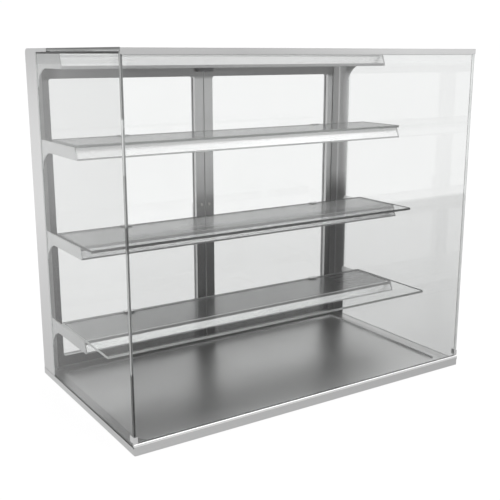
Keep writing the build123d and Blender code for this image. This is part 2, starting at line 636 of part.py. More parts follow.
with BuildPart() as left_door_frame:
    left, right = x_at(DOOR_SIDE), x_at(DOOR_FREE)
    middle_x, middle_z = (left + right) / 2, (DOOR_BOTTOM + DOOR_TOP) / 2
    frame_width, frame_height = right - left, DOOR_TOP - DOOR_BOTTOM
    window_width, window_height = frame_width - 2 * DOOR_MEMBER, frame_height - 2 * DOOR_MEMBER
    with BuildSketch(Plane.XZ.offset(-y_at(DOOR_FRONT))):
        with Locations((middle_x, middle_z)):
            Rectangle(frame_width, frame_height)
            RectangleRounded(window_width, window_height, DOOR_WINDOW_CORNER, mode=Mode.SUBTRACT)
    extrude(amount=-DOOR_THICKNESS)
    long_edges = left_door_frame.edges().filter_by(Axis.Z)
    outer_edges = long_edges.group_by(Axis.X)[0] + long_edges.group_by(Axis.X)[-1]
    chamfer(outer_edges, DOOR_EDGE)
    with BuildSketch(Plane.XZ.offset(-y_at(DOOR_REAR - REBATE_DEPTH))):
        with Locations((middle_x, middle_z)):
            RectangleRounded(
                window_width + 2 * REBATE_STEP,
                window_height + 2 * REBATE_STEP,
                DOOR_WINDOW_CORNER + REBATE_STEP,
            )
    extrude(amount=-REBATE_DEPTH, mode=Mode.SUBTRACT)
    for pin_low in (DOOR_BOTTOM, DOOR_TOP - PIVOT_GRIP):
        with BuildSketch(Plane.XY.offset(pin_low)):
            with Locations((x_at(PIVOT_X), y_at(PIVOT_Y))):
                Circle(PIVOT_RADIUS)
        extrude(amount=PIVOT_GRIP, mode=Mode.SUBTRACT)
    pull_x = x_at(DOOR_FREE - PULL_FROM_EDGE)
    for screw_z in (PULL_CENTRE - PULL_SPAN / 2, PULL_CENTRE + PULL_SPAN / 2):
        with BuildSketch(Plane.XZ.offset(-y_at(DOOR_FRONT))):
            with Locations((pull_x, screw_z)):
                Circle(SCREW_RADIUS + SCREW_CLEARANCE)
        extrude(amount=-DOOR_THICKNESS, mode=Mode.SUBTRACT)
save(left_door_frame, "left_door_frame")

with BuildPart() as left_door_glass:
    with BuildSketch(Plane.XZ.offset(-y_at(DOOR_REAR - REBATE_DEPTH))):
        with Locations((middle_x, middle_z)):
            RectangleRounded(
                window_width + 2 * (REBATE_STEP - GAP),
                window_height + 2 * (REBATE_STEP - GAP),
                DOOR_WINDOW_CORNER + REBATE_STEP - GAP,
            )
    extrude(amount=-DOOR_GLASS)
save(left_door_glass, "left_door_glass")

with BuildPart() as left_door_bead:
    with BuildSketch(Plane.XZ.offset(-y_at(DOOR_REAR - REBATE_DEPTH + DOOR_GLASS))):
        with Locations((middle_x, middle_z)):
            RectangleRounded(
                window_width + 2 * (REBATE_STEP - GAP),
                window_height + 2 * (REBATE_STEP - GAP),
                DOOR_WINDOW_CORNER + REBATE_STEP - GAP,
            )
            RectangleRounded(window_width, window_height, DOOR_WINDOW_CORNER, mode=Mode.SUBTRACT)
    extrude(amount=-(REBATE_DEPTH - DOOR_GLASS - BEAD_RECESS))
save(left_door_bead, "left_door_bead")

with BuildPart() as left_door_pivots:
    for pin_low, pin_high in (
        (LEDGE - BUSH_LENGTH + SHEET, DOOR_BOTTOM + PIVOT_GRIP),
        (DOOR_TOP - PIVOT_GRIP, RAIL_UNDER + BUSH_LENGTH - SHEET),
    ):
        with BuildSketch(Plane.XY.offset(pin_low)):
            with Locations((x_at(PIVOT_X), y_at(PIVOT_Y))):
                Circle(PIVOT_RADIUS)
        extrude(amount=pin_high - pin_low)
save(left_door_pivots, "left_door_pivots")

with BuildPart() as pivot_bushes:
    for low, high, flange_low in (
        (LEDGE - BUSH_LENGTH, LEDGE + BUSH_FLANGE, LEDGE),
        (RAIL_UNDER - BUSH_FLANGE, RAIL_UNDER + BUSH_LENGTH, RAIL_UNDER - BUSH_FLANGE),
    ):
        with BuildSketch(Plane.XY.offset(low)):
            with Locations((x_at(PIVOT_X), y_at(PIVOT_Y))):
                Circle(BUSH_RADIUS)
        extrude(amount=high - low)
        with BuildSketch(Plane.XY.offset(flange_low)):
            with Locations((x_at(PIVOT_X), y_at(PIVOT_Y))):
                RegularPolygon(BUSH_FLANGE_RADIUS, 6)
        extrude(amount=BUSH_FLANGE)
        with BuildSketch(Plane.XY.offset(low)):
            with Locations((x_at(PIVOT_X), y_at(PIVOT_Y))):
                Circle(PIVOT_RADIUS + PIVOT_CLEARANCE)
        extrude(amount=high - low, mode=Mode.SUBTRACT)
    mirror(about=Plane.YZ)
save(pivot_bushes, "pivot_bushes")

PULL_FACE = y_at(DOOR_REAR)
PULL_LOW = PULL_CENTRE - PULL_SPAN / 2
PULL_HIGH = PULL_CENTRE + PULL_SPAN / 2
with BuildPart() as left_door_pull:
    with BuildSketch(Plane.YZ.offset(pull_x - PULL_WIDTH / 2)) as bow:
        with BuildLine():
            FilletPolyline(
                (PULL_FACE, PULL_LOW - PULL_BAR / 2),
                (PULL_FACE + PULL_REACH, PULL_LOW - PULL_BAR / 2),
                (PULL_FACE + PULL_REACH, PULL_HIGH + PULL_BAR / 2),
                (PULL_FACE, PULL_HIGH + PULL_BAR / 2),
                radius=PULL_BEND,
            )
            offset(amount=PULL_BAR, side=Side.LEFT)
        make_face()
    extrude(bow.sketch, amount=PULL_WIDTH)
    with BuildSketch(Plane.XZ.offset(-PULL_FACE)):
        with Locations((pull_x, PULL_LOW), (pull_x, PULL_HIGH)):
            Circle(SCREW_RADIUS + THREAD_CLEARANCE)
    extrude(amount=-SCREW_LENGTH, mode=Mode.SUBTRACT)
save(left_door_pull, "left_door_pull")

with BuildPart() as left_pull_screws:
    screw_across(
        [(pull_x, PULL_LOW), (pull_x, PULL_HIGH)],
        y_at(DOOR_FRONT),
        DOOR_THICKNESS + SCREW_LENGTH - GAP,
    )
save(left_pull_screws, "left_pull_screws")

STRIKE_END = DOOR_FREE - STRIKE_FROM_EDGE
STRIKE_X = (x_at(STRIKE_END - STRIKE_WIDTH), x_at(STRIKE_END))
STRIKE_Y = (y_at(DOOR_FRONT) - STRIKE_SHEET, y_at(DOOR_FRONT))
with BuildPart() as left_strike:
    block(STRIKE_X, STRIKE_Y, (DOOR_TOP - CATCH_DROP + STRIKE_MARGIN, DOOR_TOP - STRIKE_MARGIN))
save(left_strike, "left_strike")

RIGHT_DOOR = {
    "right_door_frame": left_door_frame,
    "right_door_glass": left_door_glass,
    "right_door_bead": left_door_bead,
    "right_door_pivots": left_door_pivots,
    "right_door_pull": left_door_pull,
    "right_pull_screws": left_pull_screws,
    "right_strike": left_strike,
}
for name, source in RIGHT_DOOR.items():
    with BuildPart() as opposite:
        mirror(source.part, about=Plane.YZ)
    save(opposite, name)

# ---------------------------------------------------------------- catch and screws

with BuildPart() as magnetic_catch:
    face = STRIKE_Y[0] - GAP
    catch_low = DOOR_TOP - CATCH_DROP
    catch_side = (-CATCH_WIDTH / 2, CATCH_WIDTH / 2)
    catch_front = face - CATCH_DEPTH
    block(catch_side, (catch_front, y_at(RAIL_FRONT)), (RAIL_UNDER, RAIL_UNDER + CATCH_RISE))
    block(catch_side, (catch_front, face), (catch_low, RAIL_UNDER))
    chamfer(magnetic_catch.edges().filter_by(Axis.Y), CATCH_EDGE)
    with BuildSketch(Plane.XZ.offset(-catch_front)):
        with Locations((-CATCH_SCREW_SPACING / 2, CATCH_SCREW_Z), (CATCH_SCREW_SPACING / 2, CATCH_SCREW_Z)):
            Circle(SCREW_RADIUS + SCREW_CLEARANCE)
    extrude(amount=catch_front - y_at(RAIL_FRONT), mode=Mode.SUBTRACT)
save(magnetic_catch, "magnetic_catch")

with BuildPart() as catch_screws:
    screw_across(
        [(-CATCH_SCREW_SPACING / 2, CATCH_SCREW_Z), (CATCH_SCREW_SPACING / 2, CATCH_SCREW_Z)],
        STRIKE_Y[0] - GAP - CATCH_DEPTH,
        CATCH_DEPTH + SCREW_LENGTH,
    )
save(catch_screws, "catch_screws")

with BuildPart() as rail_screws:
    screw_across(
        [(side * x_at(RAIL_SCREW_X), z) for side in (1, -1) for z in RAIL_SCREW_ROWS],
        y_at(POST_FLANGE_FRONT),
        SCREW_LENGTH,
    )
save(rail_screws, "rail_screws")

with BuildPart() as post_screws:
    seat = LEDGE + SHEET
    for side in (1, -1):
        with BuildSketch(Plane.XY.offset(seat)):
            with Locations((side * x_at(FOOT_SCREW_X), y_at(FOOT_SCREW_Y))):
                RegularPolygon(HEAD_RADIUS, 6)
        extrude(amount=HEAD_HEIGHT)
        with BuildSketch(Plane.XY.offset(seat)):
            with Locations((side * x_at(FOOT_SCREW_X), y_at(FOOT_SCREW_Y))):
                Circle(SCREW_RADIUS)
        extrude(amount=-SCREW_LENGTH)
save(post_screws, "post_screws")
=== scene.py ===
"""Dresses the countertop bread display bin: finishes, glass, hardware, floor and light.

All sizes are in metres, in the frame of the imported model.
"""

from __future__ import annotations

import logging
import math
from dataclasses import dataclass, field
from enum import Enum

import bmesh
import bpy
from bmesh.types import BMesh, BMVert
from bpy.types import ID, Material, Node, NodeTree, Object
from bpy.types import NodeSocket as Socket
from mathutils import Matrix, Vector


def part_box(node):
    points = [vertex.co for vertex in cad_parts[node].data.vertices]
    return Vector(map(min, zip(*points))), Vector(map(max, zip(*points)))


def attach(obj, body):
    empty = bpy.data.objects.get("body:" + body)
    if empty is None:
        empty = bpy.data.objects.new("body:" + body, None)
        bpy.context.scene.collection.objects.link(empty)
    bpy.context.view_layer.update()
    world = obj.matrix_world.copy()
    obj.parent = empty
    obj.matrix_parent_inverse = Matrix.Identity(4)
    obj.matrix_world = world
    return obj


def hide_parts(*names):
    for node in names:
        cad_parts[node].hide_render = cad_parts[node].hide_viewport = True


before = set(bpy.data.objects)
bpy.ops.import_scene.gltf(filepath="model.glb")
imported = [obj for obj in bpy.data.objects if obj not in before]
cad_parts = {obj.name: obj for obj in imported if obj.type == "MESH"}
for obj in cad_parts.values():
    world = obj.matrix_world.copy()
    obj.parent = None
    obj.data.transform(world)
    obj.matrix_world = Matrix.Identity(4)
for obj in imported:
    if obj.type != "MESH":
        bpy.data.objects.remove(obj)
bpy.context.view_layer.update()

# a place, a direction or a colour
Point = tuple[float, float, float]
# the two ends of a range
Span = tuple[float, float]
# places along an axis, in rising order, and the share or the tone at each
Stops = tuple[tuple[float, float], ...]

LOG = logging.getLogger("bread_bin")
CABINET = "cabinet"
LEVELS = ("lower", "middle", "upper")
SIDES = ("left", "right")

# CAD points closer than this are one point
MERGE_DISTANCE = 0.000002

# noise cells per metre across and along a brushed grain
GRAIN_ACROSS = 3000.0
GRAIN_ALONG = 5.0

# each set of scratches: its turn in radians, and noise cells per metre along and across it
SCRATCH_SETS = ((0.35, 4.0, 900.0), (-0.9, 6.0, 1200.0))

# what a mask runs over
FULL: Span = (0.0, 1.0)

# where most of a noise lies, and where most of the sum of two noises lies
NOISE_SPAN: Span = (0.3, 0.7)
SUM_SPAN: Span = (0.6, 1.4)

# between which values of a noise a wipe mark, a scratch and a light stretch of an edge fade in
MARK_SPAN: Span = (0.45, 0.75)
SCRATCH_SPAN: Span = (0.74, 0.8)
STRETCH_SPAN: Span = (0.38, 0.46)

# what the ramps by height, across and from front to rear span
HEIGHTS: Span = (0.0, 0.8)
WIDTHS: Span = (-0.46, 0.46)
DEPTHS: Span = (-0.28, 0.28)

# ways that faces look: up, to the front, and as the narrow facet along the top of a shelf's lip
UPWARD: Point = (0.0, 0.0, 1.0)
FORWARD: Point = (0.0, -1.0, 0.0)
LIP_FACET: Point = (0.0, -1.0, 0.125)

# painted shade: how much of the tone is left at each height on the door frames' inner faces, dark at the
# foot and dimmer again under the header
DOOR_PAINTED_SHADE = (
    (0.0, 0.02),
    (0.07, 0.03),
    (0.25, 0.2),
    (0.35, 0.3),
    (0.43, 0.8),
    (0.5, 1.0),
    (0.72, 1.0),
    (0.727, 0.42),
)

# painted light and shade: how much of the shelf lips' tone is left at the height of each shelf
LIP_PAINTED_LIGHT = ((0.17, 0.84), (0.25, 0.84), (0.32, 0.46), (0.42, 0.46), (0.55, 1.0))

# painted shade: how much of the shelf tops' tone is left at the height of each shelf, darker lower down
SHELF_PAINTED_SHADE = ((0.17, 0.42), (0.38, 0.5), (0.6, 0.66))

# painted light and shade: how the deck's tone goes across and from front to rear
DECK_PAINTED_LIGHT_ACROSS = ((-0.4, 0.78), (0.0, 1.0), (0.4, 1.15))
DECK_PAINTED_LIGHT_DEPTH = ((-0.26, 1.48), (-0.1, 1.22), (0.1, 1.0))

# painted light and shade: how the tones of the ledges round the deck, the header and the top trim go across
LEDGE_PAINTED_LIGHT = ((-0.45, 0.72), (0.2, 1.1), (0.45, 1.6))
HEADER_PAINTED_HIGHLIGHT = ((-0.34, 1.25), (-0.30, 1.0))
TRIM_PAINTED_LIGHT = ((-0.2, 1.0), (0.25, 1.33))

# painted shade and light: how the door frames and the posts darken across the bin, and where the right post
# is painted lighter
DOOR_PAINTED_SHADE_ACROSS = ((-0.436, 0.3), (-0.405, 0.42), (-0.38, 1.0))
LEFT_POST_PAINTED_SHADE = ((-0.4565, 1.0), (-0.452, 0.8), (-0.43, 0.62))
RIGHT_POST_PAINTED_LIGHT_ACROSS = ((0.4475, 0.62), (0.4485, 1.04))

# painted shade and light: how much of the right post's tone is left at each height, darker low down and
# lighter at the top
RIGHT_POST_PAINTED_LIGHT_HEIGHT = ((0.1, 0.55), (0.38, 0.62), (0.45, 1.45))

# painted shade: how much light the front pane lets through at each height, less towards the bottom
FRONT_PAINTED_SHADE = ((0.0, 0.64), (0.1, 0.68), (0.2, 0.73), (0.3, 0.78), (0.446, 0.81), (0.454, 1.0))

# painted reflections: tones of the free front corner edges, from the height given up to the next one
CORNER_PAINTED_REFLECTIONS = (
    (0.0, 0.62),
    (0.040, 0.09),
    (0.172, 0.45),
    (0.415, 0.30),
    (0.424, 0.12),
    (0.468, 0.42),
    (0.565, 0.66),
    (0.612, 0.70),
    (0.650, 0.85),
    (0.668, 0.38),
)


class Axis(Enum):
    """Direction of a grain, of a pane's thickness or of a screw."""

    X = 0
    Y = 1
    Z = 2


class Finish(Enum):
    """Every finish of the bin."""

    BASE = "base_steel"
    DECK = "deck_steel"
    LEDGE = "ledge_steel"
    LEFT_POST = "left_post_steel"
    RIGHT_POST = "right_post_steel"
    ARM = "arm_steel"
    ARM_END = "arm_end_steel"
    SHELF = "shelf_steel"
    FACET = "shelf_facet_steel"
    SHELF_TOP = "shelf_top_steel"
    HEADER = "header_steel"
    TRIM = "trim_aluminium"
    SILL = "sill_aluminium"
    DOOR = "door_aluminium"
    DOOR_INSIDE = "door_inside_aluminium"
    BRIGHT = "bright_steel"
    ZINC = "fastener_zinc"
    RAIL = "rail_aluminium"
    GLASS = "clear_glass"
    FRONT_GLASS = "front_glass_clear"
    PLATE_GLASS = "plate_glass_clear"
    LEFT_GLASS = "left_side_glass"
    RIGHT_GLASS = "right_side_glass"
    CORNER_EDGE = "corner_glass_edge"
    PALE_EDGE = "pale_glass_edge"
    TOP_EDGE = "top_glass_edge"
    LOWER_PLATE_EDGE = "lower_plate_edge"
    MIDDLE_PLATE_EDGE = "middle_plate_edge"
    UPPER_PLATE_EDGE = "upper_plate_edge"
    BONDED_EDGE = "bonded_glass_edge"
    SILICONE = "clear_silicone"
    RUBBER = "foot_rubber"
    NYLON = "bush_nylon"
    CATCH = "catch_plastic"
    VINYL = "bead_vinyl"


# directions and the finish of the faces that look that way
Facings = tuple[tuple[Point, Finish], ...]


# ---------------------------------------------------------------- node helpers


@dataclass
class NodeSheet:
    """A node tree with short calls to add and join nodes.

    Args:
        tree: the node tree that is filled.
    """

    tree: NodeTree

    def add(self, kind: str, **settings: object) -> Node:
        """Add one node.

        Args:
            kind: Blender's name of the node type.
            settings: attributes to set on the node.

        Returns:
            The new node.
        """
        node = self.tree.nodes.new(kind)
        for key, value in settings.items():
            setattr(node, key, value)
        return node

    def give(self, slot: Socket, value: object) -> None:
        """Link an input or set it.

        Args:
            slot: the input.
            value: a socket to link it to, or a number, a vector or a colour.
        """
        if isinstance(value, Socket):
            self.tree.links.new(value, slot)
        else:
            slot.default_value = value

    def fill(self, node: Node, **values: object) -> Node:
        """Give a node several inputs at once.

        Args:
            node: the node.
            values: what each input gets, by its name with _ for a space.

        Returns:
            The node.
        """
        for label, value in values.items():
            self.give(node.inputs[label.replace("_", " ")], value)
        return node

    def group(self, tree: NodeTree, **values: object) -> Node:
        """Place a shared node group with its own inputs, given as in fill."""
        return self.fill(self.add("ShaderNodeGroup", node_tree=tree), **values)

    def math(self, operation: str, first: object, second: object = 0.0) -> Socket:
        """Add a math node.

        Args:
            operation: the operation's name.
            first: a socket or a number.
            second: a socket or a number.

        Returns:
            The result socket.
        """
        node = self.add("ShaderNodeMath", operation=operation)
        for slot, value in zip(node.inputs, (first, second)):
            self.give(slot, value)
        return node.outputs[0]

    def vector(self, operation: str, first: Socket, second: object) -> Socket:
        """Add a vector math node.

        Args:
            operation: the operation's name.
            first: the first vector.
            second: the second vector, or the factor of a SCALE, as a socket or a value.

        Returns:
            The result socket.
        """
        node = self.add("ShaderNodeVectorMath", operation=operation)
        self.give(node.inputs[0], first)
        self.give(node.inputs["Scale"] if operation == "SCALE" else node.inputs[1], second)
        return node.outputs["Value"] if operation == "DOT_PRODUCT" else node.outputs["Vector"]

    def noise(self, vector: Socket, scale: float, detail: float, distortion: float = 0.0) -> Socket:
        """Add a noise texture.

        Args:
            vector: the coordinates.
            scale: the noise scale.
            detail: the number of octaves.
            distortion: how far the noise is swirled.

        Returns:
            The noise value.
        """
        node = self.add("ShaderNodeTexNoise")
        self.fill(node, Vector=vector, Scale=scale, Detail=detail, Distortion=distortion)
        return node.outputs["Fac"]

    def spread(self, value: Socket, source: Span, target: Span = FULL) -> Socket:
        """Map a value from one range to another and clamp it.

        Args:
            value: the value to map.
            source: the range that it comes in.
            target: the range that it goes out in.

        Returns:
            The mapped value.
        """
        node = self.add("ShaderNodeMapRange")
        self.fill(node, Value=value, From_Min=source[0], From_Max=source[1])
        self.fill(node, To_Min=target[0], To_Max=target[1])
        return node.outputs["Result"]

    def blend(self, factor: Socket, first: tuple[float, ...], second: tuple[float, ...]) -> Socket:
        """Mix two colours.

        Args:
            factor: 0 for the first colour, 1 for the second.
            first: the first colour.
            second: the second colour.

        Returns:
            The mixed colour.
        """
        node = self.add("ShaderNodeMix", data_type="RGBA")
        colours = [slot for slot in node.inputs if slot.type == "RGBA"]
        colours[0].default_value = (*first, 1.0)
        colours[1].default_value = (*second, 1.0)
        self.give(node.inputs["Factor"], factor)
        return next(slot for slot in node.outputs if slot.type == "RGBA")

    def ramp(self, value: Socket, span: Span, stops: Stops) -> Socket:
        """Turn a value into a share that is set at a few places and runs straight between them.

        Args:
            value: the value, such as a height in metres.
            span: the range of the value that the places lie in.
            stops: places and the share at each, in rising order.

        Returns:
            The share.
        """
        node = self.fill(self.add("ShaderNodeValToRGB"), Fac=self.spread(value, span))
        rows = node.color_ramp.elements
        rows.remove(rows[1])
        for index, (place, share) in enumerate(stops):
            position = (place - span[0]) / (span[1] - span[0])
            row = rows[0] if index == 0 else rows.new(position)
            row.position = position
            row.color = (share, share, share, 1.0)
        return node.outputs["Color"]

    def place(self) -> Node:
        """Split the object coordinates into X, Y and Z."""
        coordinates = self.add("ShaderNodeTexCoord").outputs["Object"]
        return self.fill(self.add("ShaderNodeSeparateXYZ"), Vector=coordinates)

    def relief(self, height: Socket, distance: float, strength: float) -> Socket:
        """Add a bump.

        Args:
            height: the height pattern.
            distance: its depth in metres.
            strength: how strongly it shows.

        Returns:
            The bent normal.
        """
        node = self.add("ShaderNodeBump")
        return self.fill(node, Strength=strength, Distance=distance, Height=height).outputs["Normal"]


def start_group(
    name: str, inputs: dict[str, object], outputs: tuple[str, ...]
) -> tuple[NodeSheet, Node, Node, Socket]:
    """Make a node group with named sockets and add what every group begins with.

    Args:
        name: the group's name.
        inputs: each input's default, which is a number or a vector.
        outputs: names of the value sockets that it puts out.

    Returns:
        Its sheet, its input node, its output node and the object coordinates.
    """
    sheet = NodeSheet(bpy.data.node_groups.new(name, "ShaderNodeTree"))
    for label, value in inputs.items():
        kind = "NodeSocketVector" if isinstance(value, tuple) else "NodeSocketFloat"
        socket = sheet.tree.interface.new_socket(label, in_out="INPUT", socket_type=kind)
        socket.default_value = value
    for label in outputs:
        sheet.tree.interface.new_socket(label, in_out="OUTPUT", socket_type="NodeSocketFloat")
    given = sheet.add("NodeGroupInput")
    result = sheet.add("NodeGroupOutput")
    place = sheet.add("ShaderNodeTexCoord").outputs["Object"]
    return sheet, given, result, place


class Effects:
    """Node groups shared by several materials, each built once."""

    def __init__(self) -> None:
        """Build every group."""
        self.grain = self.build_grain()
        self.marks = self.build_marks()
        self.scratches = self.build_scratches()
        self.stretches = self.build_stretches()

    def build_grain(self) -> NodeTree:
        """Build the brushed grain: hair-fine streaks and broader soft bands along one direction.

        Returns:
            The group. Streak and Band are 0 to 1.
        """
        inputs = {"Stretch": (GRAIN_ALONG, GRAIN_ACROSS, GRAIN_ACROSS), "Band Width": 0.06}
        sheet, given, result, place = start_group("brushed_grain", inputs, ("Streak", "Band"))
        fine = sheet.vector("MULTIPLY", place, given.outputs["Stretch"])
        broad = sheet.vector("SCALE", fine, given.outputs["Band Width"])
        sheet.fill(result, Streak=sheet.noise(fine, 1.0, 2.0), Band=sheet.noise(broad, 1.0, 2.0))
        return sheet.tree

    def build_marks(self) -> NodeTree:
        """Build wipe marks: a soft cloudy mask.

        Returns:
            The group. Its Mask is 0 on a clean surface and 1 in a mark.
        """
        sheet, given, result, place = start_group("handling_marks", {"Scale": 6.0}, ("Mask",))
        scaled = sheet.vector("SCALE", place, given.outputs["Scale"])
        sheet.fill(result, Mask=sheet.spread(sheet.noise(scaled, 1.0, 2.0, 0.2), MARK_SPAN))
        return sheet.tree

    def build_scratches(self) -> NodeTree:
        """Build sparse hairline scratches in two slanting directions, as trays leave them.

        Returns:
            The group. Its Mask is Amount in a scratch and 0 elsewhere.
        """
        sheet, given, result, place = start_group("hair_scratches", {"Amount": 1.0}, ("Mask",))
        total = None
        for turn, along, across in SCRATCH_SETS:
            turned = sheet.add("ShaderNodeVectorRotate", rotation_type="Z_AXIS")
            sheet.fill(turned, Vector=place, Angle=turn)
            long = sheet.vector("MULTIPLY", turned.outputs["Vector"], (along, across, across))
            line = sheet.spread(sheet.noise(long, 1.0, 0.0), SCRATCH_SPAN)
            total = line if total is None else sheet.math("MAXIMUM", total, line)
        sheet.fill(result, Mask=sheet.math("MULTIPLY", total, given.outputs["Amount"]))
        return sheet.tree

    def build_stretches(self) -> NodeTree:
        """Build the light and dark stretches along a polished glass edge.

        Returns:
            The group. Its Mask is 0 in a dark stretch and 1 in a light one.
        """
        sheet, given, result, place = start_group("edge_stretches", {"Scale": 9.0}, ("Mask",))
        scaled = sheet.vector("SCALE", place, given.outputs["Scale"])
        sheet.fill(result, Mask=sheet.spread(sheet.noise(scaled, 1.0, 1.0), STRETCH_SPAN))
        return sheet.tree


# ---------------------------------------------------------------- finishes


def blank_material(name: str) -> tuple[Material, NodeSheet, Node]:
    """Make a material that holds one Principled shader.

    Args:
        name: the material's name.

    Returns:
        The material, its node sheet and the shader node.
    """
    material = bpy.data.materials.new(name)
    material.use_nodes = True
    return material, NodeSheet(material.node_tree), material.node_tree.nodes["Principled BSDF"]


def scale_colour(colour: Point, factor: float, more: float = 0.0) -> tuple[float, ...]:
    """Scale a colour, add a little to each channel and stop at white."""
    return tuple(min(1.0, channel * factor + more) for channel in colour)


@dataclass(frozen=True)
class BrushedMetal:
    """Brushed or satin metal with a fine grain along one axis.

    Args:
        tone: mean reflectance.
        rough: mean roughness.
        grain: the direction that the brush went.
        vary: how far the tone swings with the grain, as a share of it.
        scratched: how strongly hairline scratches show.
        tint: colour cast, as a factor of each channel.
        rise: heights and the share of the tone at each, as painted light and shade, or empty where it is
            even.
        sweep: places across the bin and the share of the tone at each, as painted light and shade, or
            empty.
        run: places from front to rear and the share of the tone at each, as painted light and shade, or
            empty.
        mark_cells: wipe marks per metre.
        wiped: how far a wipe mark takes the tone back from its light end to its dark one.
        dulled: how much rougher a wipe mark is.
        rough_swing: how far the roughness swings with the grain's bands.
        groove: depth of the grain in metres.
        relief: how strongly the grain's relief shows.
    """

    tone: float
    rough: float
    grain: Axis
    vary: float = 0.02
    scratched: float = 0.0
    tint: Point = (1.0, 1.0, 1.0)
    rise: Stops = ()
    sweep: Stops = ()
    run: Stops = ()
    mark_cells: float = 5.0
    wiped: float = 0.25
    dulled: float = 0.02
    rough_swing: float = 0.01
    groove: float = 0.000001
    relief: float = 0.02

    def build(self, name: str, effects: Effects) -> Material:
        """Build the node material.

        Args:
            name: the material's name.
            effects: the shared node groups.

        Returns:
            The finished material.
        """
        material, sheet, shader = blank_material(name)
        stretch = [GRAIN_ACROSS] * 3
        stretch[self.grain.value] = GRAIN_ALONG
        grain = sheet.group(effects.grain, Stretch=stretch)
        marks = sheet.group(effects.marks, Scale=self.mark_cells)
        scratches = sheet.group(effects.scratches, Amount=self.scratched)
        mixed = sheet.math("ADD", grain.outputs["Streak"], grain.outputs["Band"])
        clean = sheet.spread(mixed, SUM_SPAN)
        dull = sheet.math("SUBTRACT", clean, sheet.math("MULTIPLY", marks.outputs["Mask"], self.wiped))
        shade = sheet.math("ADD", dull, scratches.outputs["Mask"])
        low = scale_colour(self.tint, self.tone * (1 - self.vary))
        high = scale_colour(self.tint, self.tone * (1 + self.vary))
        colour = sheet.blend(shade, low, high)
        # painted light and shade: the tone is scaled by ramps by height, across and from front to rear
        place = sheet.place()
        ramps = (("Z", HEIGHTS, self.rise), ("X", WIDTHS, self.sweep), ("Y", DEPTHS, self.run))
        for output, span, stops in ramps:
            if stops:
                colour = sheet.vector("SCALE", colour, sheet.ramp(place.outputs[output], span, stops))
        swing = (self.rough - self.rough_swing, self.rough + self.rough_swing)
        rough = sheet.spread(grain.outputs["Band"], NOISE_SPAN, swing)
        worn = sheet.math("ADD", rough, sheet.math("MULTIPLY", marks.outputs["Mask"], self.dulled))
        bent = sheet.relief(grain.outputs["Streak"], self.groove, self.relief)
        sheet.fill(shader, Base_Color=colour, Metallic=1.0, Roughness=worn, Normal=bent)
        return material


@dataclass(frozen=True)
class ClearGlass:
    """Clear float glass with a faint film of handling.

    Args:
        tint: colour that is left after the light has passed.
        index: refractive index.
        painted_shade: heights and the share of the light that passes at each, as painted shade, or empty.
        film: share of the light that the film lets through.
        mark_cells: patches of film per metre.
    """

    tint: Point
    index: float = 1.5
    painted_shade: Stops = ()
    film: float = 0.99
    mark_cells: float = 4.0

    def build(self, name: str, effects: Effects) -> Material:
        """Build the node material.

        Args:
            name: the material's name.
            effects: the shared node groups.

        Returns:
            The finished material.
        """
        material, sheet, shader = blank_material(name)
        marks = sheet.group(effects.marks, Scale=self.mark_cells)
        colour = sheet.blend(marks.outputs["Mask"], self.tint, scale_colour(self.tint, self.film))
        # painted shade: the light that passes is scaled by height
        if self.painted_shade:
            share = sheet.ramp(sheet.place().outputs["Z"], HEIGHTS, self.painted_shade)
            colour = sheet.vector("SCALE", colour, share)
        sheet.fill(shader, Base_Color=colour, Roughness=0.0, IOR=self.index, Transmission_Weight=1.0)
        return material


@dataclass(frozen=True)
class GlassEdge:
    """Polished edge of a pane, whose tone steps with height and may fade across the bin; the steps and the
    fade are painted reflections and shade.

    Args:
        stops: heights and the tone from each height up to the next.
        fade: two X positions between which the edge fades, or None.
        faded: share of the tone that is left past the second position.
        step: height over which one tone turns into the next.
        glow: how strongly the edge glows, as painted light, though no lamp is in it.
        cells: light and dark stretches per metre.
        dark: share of the tone that is left in a dark stretch.
        tint: colour cast, as a factor of each channel.
        shares: shares of the tone between which the roughness goes.
        rough: roughness at the one and at the other.
    """

    stops: Stops
    fade: Span | None = None
    faded: float = 0.25
    step: float = 0.003
    glow: float = 0.0
    cells: float = 11.0
    dark: float = 0.92
    tint: Point = (0.98, 1.0, 0.99)
    shares: Span = (0.9, 1.0)
    rough: Span = (0.16, 0.26)

    def tone(self, sheet: NodeSheet, height: Socket) -> Socket:
        """Add the ramp of tones.

        Args:
            sheet: the material's node sheet.
            height: the height in metres.

        Returns:
            The tone.
        """
        steps = [self.stops[0]]
        for (_, below), (start, tone) in zip(self.stops, self.stops[1:]):
            steps.append((start - self.step / 2, below))
            steps.append((start + self.step / 2, tone))
        return sheet.ramp(height, HEIGHTS, tuple(steps))

    def build(self, name: str, effects: Effects) -> Material:
        """Build the node material.

        Args:
            name: the material's name.
            effects: the shared node groups.

        Returns:
            The finished material.
        """
        material, sheet, shader = blank_material(name)
        place = sheet.place()
        stretches = sheet.group(effects.stretches, Scale=self.cells)
        ripple = sheet.spread(stretches.outputs["Mask"], FULL, (self.dark, 1.0))
        # painted shade: the edge fades across the bin
        if self.fade:
            kept = sheet.spread(place.outputs["X"], self.fade, (1.0, self.faded))
            ripple = sheet.math("MULTIPLY", ripple, kept)
        toned = sheet.vector("SCALE", self.tone(sheet, place.outputs["Z"]), ripple)
        tinted = sheet.vector("MULTIPLY", toned, self.tint)
        sheet.fill(shader, Base_Color=tinted, Roughness=sheet.spread(ripple, self.shares, self.rough))
        # painted light: the edge glows, though no lamp is in it
        if self.glow:
            sheet.fill(shader, Emission_Color=tinted, Emission_Strength=self.glow)
        return material


